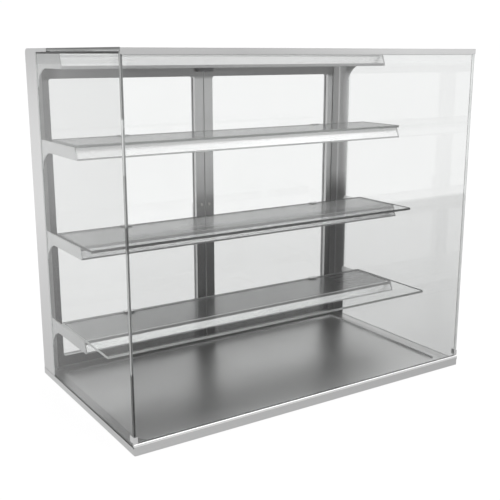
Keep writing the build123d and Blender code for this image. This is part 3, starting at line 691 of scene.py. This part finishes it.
@dataclass(frozen=True)
class Silicone:
    """Clear sealant that has a milky body and a wet shine.

    Args:
        colour: base colour.
        cells: cloudy spots per metre.
        milk: how much lighter the cloudy spots are.
        rough: roughness of the clear and of the cloudy spots.
        wet: strength of the shine over the body.
        index: refractive index.
    """

    colour: Point
    cells: float = 60.0
    milk: float = 1.08
    rough: Span = (0.2, 0.3)
    wet: float = 0.3
    index: float = 1.41

    def build(self, name: str, effects: Effects) -> Material:
        """Build the node material.

        Args:
            name: the material's name.
            effects: the shared node groups.

        Returns:
            The finished material.
        """
        material, sheet, shader = blank_material(name)
        cloud = sheet.group(effects.marks, Scale=self.cells)
        colour = sheet.blend(cloud.outputs["Mask"], self.colour, scale_colour(self.colour, self.milk))
        rough = sheet.spread(cloud.outputs["Mask"], FULL, self.rough)
        sheet.fill(shader, Base_Color=colour, Roughness=rough, Coat_Weight=self.wet, IOR=self.index)
        return material


@dataclass(frozen=True)
class SoftPlastic:
    """Moulded plastic, vinyl or rubber with a fine matt texture.

    Args:
        colour: base colour.
        rough: mean roughness.
        cells: cells of the moulded texture per metre.
        rough_swing: how far the roughness swings with the texture.
        depth: depth of the texture in metres.
        relief: how strongly its relief shows.
        mark_cells: worn spots per metre.
        paler: how much lighter a worn spot is.
        dust: what a worn spot's colour gains besides.
    """

    colour: Point
    rough: float
    cells: float = 900.0
    rough_swing: float = 0.08
    depth: float = 0.00005
    relief: float = 0.3
    mark_cells: float = 20.0
    paler: float = 1.25
    dust: float = 0.01

    def build(self, name: str, effects: Effects) -> Material:
        """Build the node material.

        Args:
            name: the material's name.
            effects: the shared node groups.

        Returns:
            The finished material.
        """
        material, sheet, shader = blank_material(name)
        place = sheet.add("ShaderNodeTexCoord")
        texture = sheet.noise(place.outputs["Object"], self.cells, 2.0)
        marks = sheet.group(effects.marks, Scale=self.mark_cells)
        worn = scale_colour(self.colour, self.paler, self.dust)
        colour = sheet.blend(marks.outputs["Mask"], self.colour, worn)
        swing = (self.rough - self.rough_swing, self.rough + self.rough_swing)
        rough = sheet.spread(texture, NOISE_SPAN, swing)
        bent = sheet.relief(texture, self.depth, self.relief)
        sheet.fill(shader, Base_Color=colour, Roughness=rough, Normal=bent)
        return material


class Palette:
    """Every material of the bin, built once."""

    def __init__(self, effects: Effects) -> None:
        """Build the materials.

        Args:
            effects: the shared node groups.
        """
        clear = (0.965, 0.97, 0.968)
        recipes = {
            Finish.BASE: BrushedMetal(0.64, 0.32, Axis.X),
            # painted light and shade: the deck's tone ramps across and from front to rear
            Finish.DECK: BrushedMetal(0.58, 0.34, Axis.X, scratched=0.1, sweep=DECK_PAINTED_LIGHT_ACROSS, run=DECK_PAINTED_LIGHT_DEPTH),
            # painted light and shade: the base's ledges are a darker copy of its steel, darker to the left
            # and lighter to the right
            Finish.LEDGE: BrushedMetal(0.54, 0.34, Axis.X, sweep=LEDGE_PAINTED_LIGHT),
            # painted shade and light: the two posts are one steel, the left darkening towards the inside,
            # the right darker inside and lighter outside
            Finish.LEFT_POST: BrushedMetal(0.66, 0.32, Axis.Z, sweep=LEFT_POST_PAINTED_SHADE),
            # painted shade and light: the right post is also darker low down and lighter at the top
            Finish.RIGHT_POST: BrushedMetal(0.66, 0.32, Axis.Z, rise=RIGHT_POST_PAINTED_LIGHT_HEIGHT, sweep=RIGHT_POST_PAINTED_LIGHT_ACROSS),
            Finish.ARM: BrushedMetal(0.94, 0.34, Axis.Y),
            # painted shade: the arms' forward faces are a darker copy of the arm steel
            Finish.ARM_END: BrushedMetal(0.5, 0.34, Axis.Z),
            # painted light and shade: the shelf lips' tone changes with the shelf's height
            Finish.SHELF: BrushedMetal(0.88, 0.26, Axis.X, 0.005, rise=LIP_PAINTED_LIGHT),
            # painted shade: the lip's top facet is a darker copy of the shelf steel
            Finish.FACET: BrushedMetal(0.40, 0.3, Axis.X, 0.005),
            # painted shade: the shelf tops are darker on the lower shelves
            Finish.SHELF_TOP: BrushedMetal(0.88, 0.26, Axis.X, 0.005, rise=SHELF_PAINTED_SHADE),
            # painted highlight: the header is lighter at its left end
            Finish.HEADER: BrushedMetal(0.66, 0.26, Axis.X, 0.005, sweep=HEADER_PAINTED_HIGHLIGHT),
            # painted light: the top trim grows lighter towards the right
            Finish.TRIM: BrushedMetal(0.74, 0.24, Axis.X, sweep=TRIM_PAINTED_LIGHT),
            Finish.SILL: BrushedMetal(0.98, 0.24, Axis.X),
            Finish.DOOR: BrushedMetal(0.62, 0.3, Axis.Z),
            # painted shade: the door frames' inner faces darken towards the foot, under the header and
            # towards the left stile
            Finish.DOOR_INSIDE: BrushedMetal(0.74, 0.3, Axis.Z, rise=DOOR_PAINTED_SHADE, sweep=DOOR_PAINTED_SHADE_ACROSS),
            # painted shade: the rear top rail is dark as in the header's shadow
            Finish.RAIL: BrushedMetal(0.20, 0.3, Axis.X),
            Finish.BRIGHT: BrushedMetal(0.72, 0.2, Axis.X),
            Finish.ZINC: BrushedMetal(0.6, 0.32, Axis.X, vary=0.08, tint=(1.0, 0.99, 0.96)),
            Finish.GLASS: ClearGlass(clear),
            # painted shade: the front pane lets less light through towards the bottom
            Finish.FRONT_GLASS: ClearGlass(clear, painted_shade=FRONT_PAINTED_SHADE),
            Finish.PLATE_GLASS: ClearGlass(clear, 1.1),
            # painted shade: the side panes are darker copies of the clear glass, the left one much darker
            Finish.LEFT_GLASS: ClearGlass((0.79, 0.795, 0.793), 1.25),
            Finish.RIGHT_GLASS: ClearGlass((0.92, 0.925, 0.923)),
            # painted reflections: the corner edges step through light and dark tones with height
            Finish.CORNER_EDGE: GlassEdge(CORNER_PAINTED_REFLECTIONS),
            # painted light: the pale edges are nearly white and glow
            Finish.PALE_EDGE: GlassEdge(((0.0, 0.9),), glow=0.35),
            # painted shade: the top glass's side edges are darker along their top
            Finish.TOP_EDGE: GlassEdge(((0.0, 0.4), (0.793, 0.11)), step=0.0004),
            # painted light and shade: the three plates' edges are one glass given different tones, the
            # lower and middle fading across the bin
            Finish.LOWER_PLATE_EDGE: GlassEdge(((0.0, 0.98),), (-0.1, 0.4), 0.6),
            Finish.MIDDLE_PLATE_EDGE: GlassEdge(((0.0, 0.16),), (-0.2, 0.3), 0.8),
            Finish.UPPER_PLATE_EDGE: GlassEdge(((0.0, 0.5),)),
            Finish.BONDED_EDGE: GlassEdge(((0.0, 0.6),)),
            Finish.SILICONE: Silicone((0.72, 0.73, 0.73)),
            Finish.RUBBER: SoftPlastic((0.02, 0.02, 0.02), 0.75),
            Finish.NYLON: SoftPlastic((0.72, 0.71, 0.66), 0.5),
            Finish.CATCH: SoftPlastic((0.16, 0.16, 0.165), 0.55),
            Finish.VINYL: SoftPlastic((0.42, 0.42, 0.425), 0.6),
        }
        self.materials = {finish: recipe.build(finish.value, effects) for finish, recipe in recipes.items()}

    def __getitem__(self, finish: Finish) -> Material:
        """Return the material of a finish."""
        return self.materials[finish]


# ---------------------------------------------------------------- meshes


def link_mesh(name: str, bm: BMesh, materials: list[Material]) -> Object:
    """Turn a bmesh into an object of the scene.

    Args:
        name: the object's name.
        bm: the mesh, which is freed.
        materials: its materials in the order of the faces' indices.

    Returns:
        The new object.
    """
    mesh = bpy.data.meshes.new(name)
    bm.to_mesh(mesh)
    bm.free()
    for material in materials:
        mesh.materials.append(material)
    piece = bpy.data.objects.new(name, mesh)
    bpy.context.scene.collection.objects.link(piece)
    return piece


def finish_piece(name: str, bm: BMesh, materials: list[Material], body: str) -> Object:
    """Turn a bmesh into an object that rides on a body.

    Args:
        name: the object's name.
        bm: the mesh, which is freed.
        materials: its materials in the order of the faces' indices.
        body: the CAD body that it rides on.

    Returns:
        The new object.
    """
    bmesh.ops.recalc_face_normals(bm, faces=bm.faces)
    piece = link_mesh(name, bm, materials)
    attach(piece, body)
    return piece


def spot(axis: Axis, depth: float, across: float, along: float) -> tuple[float, ...]:
    """Place a point by its depth along an axis and its place on the two other axes.

    Args:
        axis: the axis.
        depth: the place along it.
        across: the place along the next axis.
        along: the place along the one after that.

    Returns:
        The point.
    """
    place = [0.0, 0.0, 0.0]
    for step, value in enumerate((depth, across, along)):
        place[(axis.value + step) % 3] = value
    return tuple(place)


def skin(bm: BMesh, rings: list[list[BMVert]]) -> None:
    """Close rings of equal length into a solid: a band between each two and a cap at each end.

    Args:
        bm: the mesh that it is added to.
        rings: the rings in order.
    """
    for first, second in zip(rings, rings[1:]):
        for i in range(len(first)):
            j = (i + 1) % len(first)
            bm.faces.new((first[i], first[j], second[j], second[i]))
    bm.faces.new(rings[0])
    bm.faces.new(rings[-1])


def rounded_outline(
    low: tuple[float, float], high: tuple[float, float], radius: float, steps: int = 6
) -> list[tuple[float, float]]:
    """List the points of a rectangle with rounded corners, counter-clockwise.

    Args:
        low: the lowest corner.
        high: the highest corner.
        radius: the corner radius, or 0 for square corners.
        steps: the number of segments in each corner.

    Returns:
        The points in order.
    """
    if radius <= 0:
        return [low, (high[0], low[1]), high, (low[0], high[1])]
    centres = (
        (high[0] - radius, low[1] + radius, -90),
        (high[0] - radius, high[1] - radius, 0),
        (low[0] + radius, high[1] - radius, 90),
        (low[0] + radius, low[1] + radius, 180),
    )
    points = []
    for x, y, start in centres:
        for step in range(steps + 1):
            angle = math.radians(start + 90 * step / steps)
            points.append((x + radius * math.cos(angle), y + radius * math.sin(angle)))
    return points


@dataclass
class GlassPane:
    """One pane with polished edges and small arrises, in place of its CAD slab.

    Args:
        node: the CAD node that it stands for.
        body: the body that it rides on.
        thickness: the axis that its thickness lies along.
        face: finish of its two faces.
        edge: finish of its edges.
        edges: finish of the edges that look a given way, such as "-X", where it differs.
        corner: radius of its corners.
        arris: width of the ground arris.
        bonds: sides that are set back by the bond line, such as "+Z".
        bond_line: thickness of the adhesive or of the dots that a plate rests on.
    """

    node: str
    body: str
    thickness: Axis
    face: Finish = Finish.GLASS
    edge: Finish = Finish.BONDED_EDGE
    edges: dict[str, Finish] = field(default_factory=dict)
    corner: float = 0.0
    arris: float = 0.0005
    bonds: tuple[str, ...] = ()
    bond_line: float = 0.0002

    def facing(self, normal: Vector) -> str:
        """Name the axis and sign that a normal points along most."""
        lead = max(range(3), key=lambda i: abs(normal[i]))
        return ("-" if normal[lead] < 0 else "+") + Axis(lead).name

    def build(self, palette: Palette) -> Object:
        """Build the pane.

        Args:
            palette: the bin's materials.

        Returns:
            The pane object.
        """
        low, high = (Vector(corner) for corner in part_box(self.node))
        for side in self.bonds:
            corner, inward = (high, -1.0) if side[0] == "+" else (low, 1.0)
            corner[Axis[side[1]].value] += inward * self.bond_line
        t = self.thickness.value
        u, v = (t + 1) % 3, (t + 2) % 3
        bm = bmesh.new()
        rings = []
        arris = self.arris
        depths = ((low[t], arris), (low[t] + arris, 0.0), (high[t] - arris, 0.0), (high[t], arris))
        for depth, inset in depths:
            least = (low[u] + inset, low[v] + inset)
            most = (high[u] - inset, high[v] - inset)
            outline = rounded_outline(least, most, max(0.0, self.corner - inset))
            rings.append([bm.verts.new(spot(self.thickness, depth, a, b)) for a, b in outline])
        skin(bm, rings)
        bmesh.ops.recalc_face_normals(bm, faces=bm.faces)
        finishes = list(dict.fromkeys([self.face, self.edge, *self.edges.values()]))
        for face in bm.faces:
            side = self.facing(face.normal)
            is_edge = side[1] != self.thickness.name
            tone = self.edges.get(side, self.edge) if is_edge else self.face
            face.material_index = finishes.index(tone)
        materials = [palette[finish] for finish in finishes]
        pane = finish_piece(f"{self.node}_pane", bm, materials, self.body)
        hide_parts(self.node)
        return pane


@dataclass
class SoftenedPart:
    """A CAD piece with its sharp edges broken, in place of the sharp one.

    Args:
        node: the CAD node that it stands for.
        body: the body that it rides on.
        finish: its finish.
        edge: width of the broken edge.
        facings: finishes of the faces whose normal lies near a direction, where they differ; here they
            paint light and shade by the way a face looks.
        near: least cosine between a face's normal and the direction that it is said to look.
        flat_angle: faces that meet at less than this, in degrees, are joined into one.
        crease_angle: edges sharper than this, in degrees, are broken.
        evenness: how much more the larger faces count in the shading, up to 100.
    """

    node: str
    body: str
    finish: Finish
    edge: float = 0.0003
    facings: Facings = ()
    near: float = 0.985
    flat_angle: float = 0.5
    crease_angle: float = 40.0
    evenness: int = 90

    def build(self, palette: Palette) -> Object:
        """Build the piece.

        Args:
            palette: the bin's materials.

        Returns:
            The softened piece.
        """
        bm = bmesh.new()
        bm.from_mesh(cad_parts[self.node].data)
        bmesh.ops.remove_doubles(bm, verts=bm.verts, dist=MERGE_DISTANCE)
        flat = math.radians(self.flat_angle)
        bmesh.ops.dissolve_limit(bm, angle_limit=flat, verts=bm.verts, edges=bm.edges)
        for face in bm.faces:
            face.smooth = True
            face.material_index = 0
            for index, (direction, _) in enumerate(self.facings, 1):
                if face.normal.dot(Vector(direction).normalized()) > self.near:
                    face.material_index = index
        materials = [palette[self.finish]] + [palette[finish] for _, finish in self.facings]
        piece = finish_piece(f"{self.node}_softened", bm, materials, self.body)
        rounding = piece.modifiers.new("broken_edges", "BEVEL")
        rounding.width = self.edge
        rounding.segments = 2
        rounding.limit_method = "ANGLE"
        rounding.angle_limit = math.radians(self.crease_angle)
        evening = piece.modifiers.new("even_shading", "WEIGHTED_NORMAL")
        evening.weight = self.evenness
        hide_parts(self.node)
        return piece


def dress(node: str, material: Material) -> None:
    """Give a CAD node one material.

    Args:
        node: the node's name.
        material: the material that it gets.
    """
    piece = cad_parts[node]
    piece.data.materials.clear()
    piece.data.materials.append(material)


@dataclass
class HexScrews:
    """Hex head screws with chamfered crowns, in place of the plain CAD ones.

    Args:
        node: the CAD node that holds the screws.
        body: the body that they ride on.
        axis: the direction that they are driven along.
        head_first: True where the head is at the low end of the axis.
        head_radius: half the width over the corners.
        head_height: height of the head.
        shank_radius: radius of the shank.
        crown_share: share of the head's radius that its round crown takes up.
        dish: depth of the hollow in the crown.
        chamfer: height over which the crown widens to the full head.
        arris: height of the broken edges.
        tip: length of the taper at the far end.
        points: number of points around a screw.
    """

    node: str
    body: str
    axis: Axis
    head_first: bool
    head_radius: float = 0.00404
    head_height: float = 0.0024
    shank_radius: float = 0.002
    crown_share: float = 0.78
    dish: float = 0.00012
    chamfer: float = 0.00045
    arris: float = 0.0001
    tip: float = 0.0006
    points: int = 36

    def hex_radius(self, angle: float) -> float:
        """Distance from the centre to the flats at an angle."""
        return self.head_radius * math.cos(math.pi / 6) / math.cos(angle % (math.pi / 3) - math.pi / 6)

    def rings(self, length: float) -> list[tuple[float, float]]:
        """List the rings down one screw.

        Args:
            length: the screw's length with its head.

        Returns:
            Each ring's distance from the crown and its largest radius.
        """
        crown = self.head_radius * self.crown_share
        return [
            (self.dish, crown * 0.55),
            (0.0, crown * 0.9),
            (self.arris, crown),
            (self.chamfer, self.head_radius),
            (self.head_height - self.arris, self.head_radius),
            (self.head_height, self.head_radius * 0.97),
            (self.head_height, self.shank_radius),
            (length - self.tip, self.shank_radius),
            (length, self.shank_radius * 0.7),
        ]

    def centres(self) -> list[tuple[Vector, float]]:
        """Find the screws in the CAD solids.

        Returns:
            The middle of each screw's head end and the screw's length.
        """
        bm = bmesh.new()
        bm.from_mesh(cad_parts[self.node].data)
        bmesh.ops.remove_doubles(bm, verts=bm.verts, dist=MERGE_DISTANCE)
        left = set(bm.verts)
        found = []
        while left:
            group, stack = set(), [next(iter(left))]
            while stack:
                vert = stack.pop()
                if vert in group:
                    continue
                group.add(vert)
                stack.extend(edge.other_vert(vert) for edge in vert.link_edges)
            left -= group
            spans = [(min(v.co[i] for v in group), max(v.co[i] for v in group)) for i in range(3)]
            centre = Vector([(a + b) / 2 for a, b in spans])
            low, high = spans[self.axis.value]
            centre[self.axis.value] = low if self.head_first else high
            found.append((centre, high - low))
        bm.free()
        return sorted(found, key=lambda item: tuple(round(c, 6) for c in item[0]))

    def build(self, palette: Palette) -> Object:
        """Build the screws.

        Args:
            palette: the bin's materials.

        Returns:
            The screws as one piece.
        """
        bm = bmesh.new()
        t = self.axis.value
        u, v = (t + 1) % 3, (t + 2) % 3
        inward = 1.0 if self.head_first else -1.0
        turns = [2 * math.pi * i / self.points for i in range(self.points)]
        for centre, length in self.centres():
            rows = []
            for depth, limit in self.rings(length):
                row = []
                for angle in turns:
                    radius = min(limit, self.hex_radius(angle)) if limit > self.shank_radius else limit
                    across = centre[u] + radius * math.cos(angle)
                    along = centre[v] + radius * math.sin(angle)
                    row.append(bm.verts.new(spot(self.axis, centre[t] + inward * depth, across, along)))
                rows.append(row)
            skin(bm, rows)
        piece = finish_piece(f"{self.node}_turned", bm, [palette[Finish.ZINC]], self.body)
        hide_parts(self.node)
        return piece


@dataclass
class BondBeads:
    """Two hollow beads of clear sealant under the top glass, along the side panes.

    Args:
        reach: how far a bead runs along each pane.
        steps: segments across a bead's hollow face.
        clearance: gap that keeps a bead off the glass.
        front_gap: distance from the front pane to a bead's front end.
        rear_gap: distance from a bead's rear end to the rear edge of the top glass.
    """

    reach: float = 0.0015
    steps: int = 5
    clearance: float = 0.00005
    front_gap: float = 0.012
    rear_gap: float = 0.014

    def corner(self, start: Vector, run: Vector, one: Vector, two: Vector, bm: BMesh) -> None:
        """Add one bead.

        Args:
            start: the point in the corner where it begins.
            run: the vector along the corner to its end.
            one: unit vector along one pane, away from the corner.
            two: unit vector along the other pane.
            bm: the mesh that it is added to.
        """
        profile = [Vector()]
        for step in range(self.steps + 1):
            angle = math.pi / 2 * step / self.steps
            across = self.reach * (1 - math.sin(angle))
            along = self.reach * (1 - math.cos(angle))
            profile.append(one * across + two * along)
        skin(bm, [[bm.verts.new(start + end + point) for point in profile] for end in (Vector(), run)])

    def build(self, palette: Palette) -> Object:
        """Build the beads.

        Args:
            palette: the bin's materials.

        Returns:
            The beads as one piece.
        """
        bm = bmesh.new()
        top_low, top_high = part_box("top_glass")
        under = top_low[2] - self.clearance
        _, front_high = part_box("front_glass")
        for side, name in ((1, "left"), (-1, "right")):
            pane_low, pane_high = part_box(f"{name}_side_glass")
            inner = pane_high[0] if side > 0 else pane_low[0]
            into = Vector((float(side), 0.0, 0.0))
            roof = Vector((inner + side * self.clearance, front_high[1] + self.front_gap, under))
            back = Vector((0.0, top_high[1] - self.rear_gap - roof[1], 0.0))
            self.corner(roof, back, into, -Vector(UPWARD), bm)
        return finish_piece("glass_bond_beads", bm, [palette[Finish.SILICONE]], CABINET)


# ---------------------------------------------------------------- sub-assemblies


@dataclass
class GlassBox:
    """The four fixed panes, their bond beads and the three plates.

    Args:
        plate_corner: radius of the plates' corners.
    """

    plate_corner: float = 0.002

    def build(self, palette: Palette) -> list[Object]:
        """Build all the panes.

        Args:
            palette: the bin's materials.

        Returns:
            The new pieces.
        """
        # painted light and shade on the pane edges: reflections on the front corners, a glow on the pale
        # edges, shade on the top glass's sides
        free = {"-X": Finish.CORNER_EDGE, "+X": Finish.PALE_EDGE}
        bonded = {"-Y": Finish.CORNER_EDGE, "+Y": Finish.PALE_EDGE}
        pale = {"-Y": Finish.PALE_EDGE, "+Y": Finish.PALE_EDGE}
        exposed = {"-X": Finish.TOP_EDGE, "+X": Finish.TOP_EDGE}
        panes = [GlassPane("front_glass", CABINET, Axis.Y, Finish.FRONT_GLASS, edges=free, bonds=("-Y",))]
        sides = (("left", Finish.LEFT_GLASS, bonded, "-X"), ("right", Finish.RIGHT_GLASS, pale, "+X"))
        for side, face, edges, outside in sides:
            met = ("-Y", "+Z", outside)
            panes.append(GlassPane(f"{side}_side_glass", CABINET, Axis.X, face, edges=edges, bonds=met))
        panes.append(GlassPane("top_glass", CABINET, Axis.Z, edges=exposed))
        rims = (Finish.LOWER_PLATE_EDGE, Finish.MIDDLE_PLATE_EDGE, Finish.UPPER_PLATE_EDGE)
        for level, rim in zip(LEVELS, rims):
            node = f"{level}_glass_plate"
            shape = {"corner": self.plate_corner, "bonds": ("-Z",)}
            panes.append(GlassPane(node, CABINET, Axis.Z, Finish.PLATE_GLASS, rim, **shape))
        return [pane.build(palette) for pane in panes] + [BondBeads().build(palette)]


@dataclass
class Cabinet:
    """The fixed metal parts: some softened, the rest dressed where they stand.

    Args:
        softened: nodes whose edges are broken, and their finish.
        arm_ends: finish of the arms' faces that look forward, a darker copy painted as shade.
        arm_end_spread: least cosine that counts as looking forward.
        facings: finishes by direction on some of the softened nodes, painting shade and light onto the lip
            facets, the shelf tops and the base's ledges.
        plain: nodes that are dressed as they are, and their finish.
    """

    softened: dict[str, Finish] = field(
        default_factory=lambda: {
            "left_post": Finish.LEFT_POST,
            "right_post": Finish.RIGHT_POST,
            "lower_shelf": Finish.SHELF,
            "middle_shelf": Finish.SHELF,
            "upper_shelf": Finish.SHELF,
            "top_header": Finish.HEADER,
            "front_sill_trim": Finish.SILL,
            "front_top_trim": Finish.TRIM,
            "corner_clips": Finish.BRIGHT,
            "plate_clips": Finish.BRIGHT,
            "top_panel": Finish.BASE,
            "rear_top_rail": Finish.RAIL,
            "magnetic_catch": Finish.CATCH,
            "base_tray": Finish.BASE,
        }
    )
    arm_ends: Facings = (((0.0, -1.0, 0.2), Finish.ARM_END),)
    arm_end_spread: float = 0.9
    facings: dict[str, Facings] = field(
        default_factory=lambda: {
            "lower_shelf": ((LIP_FACET, Finish.FACET), (UPWARD, Finish.SHELF_TOP)),
            "middle_shelf": ((LIP_FACET, Finish.FACET), (UPWARD, Finish.SHELF_TOP)),
            "upper_shelf": ((UPWARD, Finish.SHELF_TOP),),
            "base_tray": ((UPWARD, Finish.LEDGE),),
        }
    )
    plain: dict[str, Finish] = field(
        default_factory=lambda: {
            "deck_pan": Finish.DECK,
            "deck_stiffeners": Finish.DECK,
            "pivot_bushes": Finish.NYLON,
            "foot_pads": Finish.RUBBER,
        }
    )

    def build(self, palette: Palette) -> list[Object]:
        """Dress the fixed parts.

        Args:
            palette: the bin's materials.

        Returns:
            The new pieces.
        """
        for node, finish in self.plain.items():
            dress(node, palette[finish])
        parts = []
        for node, finish in self.softened.items():
            parts.append(SoftenedPart(node, CABINET, finish, facings=self.facings.get(node, ())))
        ends = {"facings": self.arm_ends, "near": self.arm_end_spread}
        for level in (*LEVELS, "header"):
            for side in SIDES:
                parts.append(SoftenedPart(f"{level}_{side}_arm", CABINET, Finish.ARM, **ends))
        parts.append(HexScrews("rail_screws", CABINET, Axis.Y, True))
        parts.append(HexScrews("catch_screws", CABINET, Axis.Y, True))
        parts.append(HexScrews("post_screws", CABINET, Axis.Z, False))
        return [part.build(palette) for part in parts]


@dataclass
class Door:
    """One framed door with its pane, pull and small parts.

    Args:
        side: left or right.
        pane_corner: radius of the pane's corners.
        frame_edge: width of the frame's broken edges.
        pull_edge: width of the pull's broken edges.
        strike_edge: width of the strike's broken edges.
    """

    side: str
    pane_corner: float = 0.0117
    frame_edge: float = 0.0005
    pull_edge: float = 0.0008
    strike_edge: float = 0.0001

    def build(self, palette: Palette) -> list[Object]:
        """Dress the door and build its pane.

        Args:
            palette: the bin's materials.

        Returns:
            The new pieces.
        """
        body = f"{self.side}_door"
        dress(f"{self.side}_door_pivots", palette[Finish.ZINC])
        # the frame's faces that look forward, into the bin, take the painted shade
        inside = ((FORWARD, Finish.DOOR_INSIDE),)
        parts = (
            SoftenedPart(f"{self.side}_door_frame", body, Finish.DOOR, self.frame_edge, inside),
            SoftenedPart(f"{self.side}_door_bead", body, Finish.VINYL),
            SoftenedPart(f"{self.side}_door_pull", body, Finish.BRIGHT, self.pull_edge),
            SoftenedPart(f"{self.side}_strike", body, Finish.ZINC, self.strike_edge),
            HexScrews(f"{self.side}_pull_screws", body, Axis.Y, True),
            GlassPane(f"{self.side}_door_glass", body, Axis.Y, corner=self.pane_corner),
        )
        return [part.build(palette) for part in parts]


# ---------------------------------------------------------------- studio


def aim(name: str, data: ID, place: Point, direction: Vector) -> Object:
    """Hang a camera or a lamp and turn it.

    Args:
        name: the object's name.
        data: the camera or the light.
        place: where it hangs.
        direction: the way that it looks.

    Returns:
        The new object.
    """
    hung = bpy.data.objects.new(name, data)
    hung.location = place
    hung.rotation_mode = "QUATERNION"
    hung.rotation_quaternion = direction.to_track_quat("-Z", "Y")
    bpy.context.scene.collection.objects.link(hung)
    return hung


@dataclass(frozen=True)
class SoftBox:
    """A lamp with a wide soft face.

    Args:
        name: the lamp's name.
        place: where it hangs.
        target: the point that it faces.
        size: width and height of its face.
        power: power in watts.
    """

    name: str
    place: Point
    target: Point
    size: Span
    power: float

    def build(self) -> Object:
        """Hang the lamp.

        Returns:
            The lamp.
        """
        data = bpy.data.lights.new(self.name, "AREA")
        data.shape = "RECTANGLE"
        data.size, data.size_y = self.size
        data.energy = self.power
        return aim(self.name, data, self.place, Vector(self.target) - Vector(self.place))


@dataclass
class Studio:
    """Camera, floor, room light and soft boxes.

    Args:
        eye: the camera's place.
        toward: the direction that it looks.
        lens: focal length in millimetres.
        sensor: sensor width in millimetres.
        clip: nearest and farthest distance that the camera sees.
        boxes: the soft boxes.
        floor_reach: half the floor's width.
        floor_tone: reflectance of the floor.
        floor_rough: roughness of the floor.
        floor_glow: light that the floor gives off, so that it shows white.
        floor_run: direction along the floor in which its mirrored brightness grows.
        floor_span: distances along that direction between which it grows.
        mirrored_floor: brightness at the two ends of that span.
        room: brightness of the room seen straight.
        room_span: rise of the view, from level to overhead, over which the mirrored room changes.
        mirrored_room: brightness of the room that surfaces mirror, at eye level and overhead.
        bounces: most bounces of light in all and through glass.
        glossy_bounces: most bounces off shiny surfaces.
        clear_bounces: most passes through fully transparent surfaces.
    """

    eye: Point = (-1.0760, -1.6454, 0.7848)
    toward: Point = (0.5306, 0.8145, -0.2345)
    lens: float = 58.71
    sensor: float = 36.0
    clip: Span = (0.05, 200.0)
    boxes: tuple[SoftBox, ...] = (
        SoftBox("key_box", (1.5, -2.6, 2.1), (0.0, 0.0, 0.5), (2.2, 1.2), 10.0),
        SoftBox("top_box", (0.0, -0.2, 3.0), (0.0, 0.0, 0.3), (2.4, 2.0), 8.0),
    )
    floor_reach: float = 60.0
    floor_tone: float = 0.12
    floor_rough: float = 0.9
    floor_glow: float = 0.9
    floor_run: Point = (-0.55, 0.83, 0.0)
    floor_span: Span = (-0.5, 2.5)
    mirrored_floor: Span = (0.62, 1.05)
    room: float = 1.02
    room_span: Span = (0.05, 0.55)
    mirrored_room: Span = (0.60, 1.25)
    bounces: int = 24
    glossy_bounces: int = 8
    clear_bounces: int = 16

    def camera(self) -> None:
        """Place the camera."""
        data = bpy.data.cameras.new("camera")
        data.lens = self.lens
        data.sensor_width = self.sensor
        data.clip_start, data.clip_end = self.clip
        bpy.context.scene.camera = aim("camera", data, self.eye, Vector(self.toward))

    def bounced(self, sheet: NodeSheet) -> Socket:
        """Tell light that has bounced off a surface from light that comes straight or through glass.

        Args:
            sheet: the node sheet that it is added to.

        Returns:
            A socket that is 1 for bounced light and 0 otherwise.
        """
        path = sheet.add("ShaderNodeLightPath")
        depth = sheet.math("ADD", path.outputs["Glossy Depth"], path.outputs["Diffuse Depth"])
        return sheet.math("MINIMUM", depth, 1.0)

    def floor(self) -> None:
        """Lay a wide pale floor, which metal and glass mirror dimmer towards the front right."""
        bm = bmesh.new()
        reach = self.floor_reach
        for corner in ((-reach, -reach), (reach, -reach), (reach, reach), (-reach, reach)):
            bm.verts.new((*corner, 0.0))
        bm.faces.new(bm.verts)
        material, sheet, shader = blank_material("pale_floor")
        sheet.fill(shader, Base_Color=(self.floor_tone,) * 3 + (1.0,), Roughness=self.floor_rough)
        sheet.fill(shader, Specular_IOR_Level=0.0)
        sheet.fill(shader, Emission_Color=(1.0, 1.0, 1.0, 1.0), Emission_Strength=self.floor_glow)
        place = sheet.add("ShaderNodeNewGeometry")
        along = sheet.vector("DOT_PRODUCT", place.outputs["Position"], self.floor_run)
        graded = sheet.spread(along, self.floor_span, self.mirrored_floor)
        mirrored = sheet.fill(sheet.add("ShaderNodeEmission"), Strength=graded)
        mix = sheet.fill(sheet.add("ShaderNodeMixShader"), Fac=self.bounced(sheet))
        sheet.give(mix.inputs[1], shader.outputs["BSDF"])
        sheet.give(mix.inputs[2], mirrored.outputs["Emission"])
        sheet.fill(material.node_tree.nodes["Material Output"], Surface=mix.outputs["Shader"])
        floor = link_mesh("floor", bm, [material])

    def world(self) -> None:
        """Fill the room with soft light: white behind the bin, and brighter overhead than at eye level."""
        world = bpy.data.worlds.new("studio")
        world.use_nodes = True
        bpy.context.scene.world = world
        sheet = NodeSheet(world.node_tree)
        place = sheet.add("ShaderNodeTexCoord")
        up = sheet.vector("DOT_PRODUCT", place.outputs["Generated"], UPWARD)
        graded = sheet.spread(up, self.room_span, self.mirrored_room)
        tone = sheet.add("ShaderNodeMix", data_type="FLOAT")
        sheet.fill(tone, Factor=self.bounced(sheet), A=self.room, B=graded)
        sheet.fill(world.node_tree.nodes["Background"], Color=tone.outputs["Result"])

    def build(self) -> None:
        """Set the whole studio."""
        scene = bpy.context.scene
        scene.view_settings.view_transform = "Standard"
        scene.cycles.max_bounces = self.bounces
        scene.cycles.transmission_bounces = self.bounces
        scene.cycles.glossy_bounces = self.glossy_bounces
        scene.cycles.transparent_max_bounces = self.clear_bounces
        self.camera()
        self.floor()
        self.world()
        for box in self.boxes:
            box.build()


def main() -> None:
    """Build the studio and the bin, and report each piece."""
    logging.basicConfig(level=logging.INFO, format="%(message)s")
    Studio().build()
    palette = Palette(Effects())
    for assembly in (Cabinet(), GlassBox(), Door("left"), Door("right")):
        for piece in assembly.build(palette):
            LOG.info("%s: %s", type(assembly).__name__, piece.name)


if __name__ == "__main__":
    main()
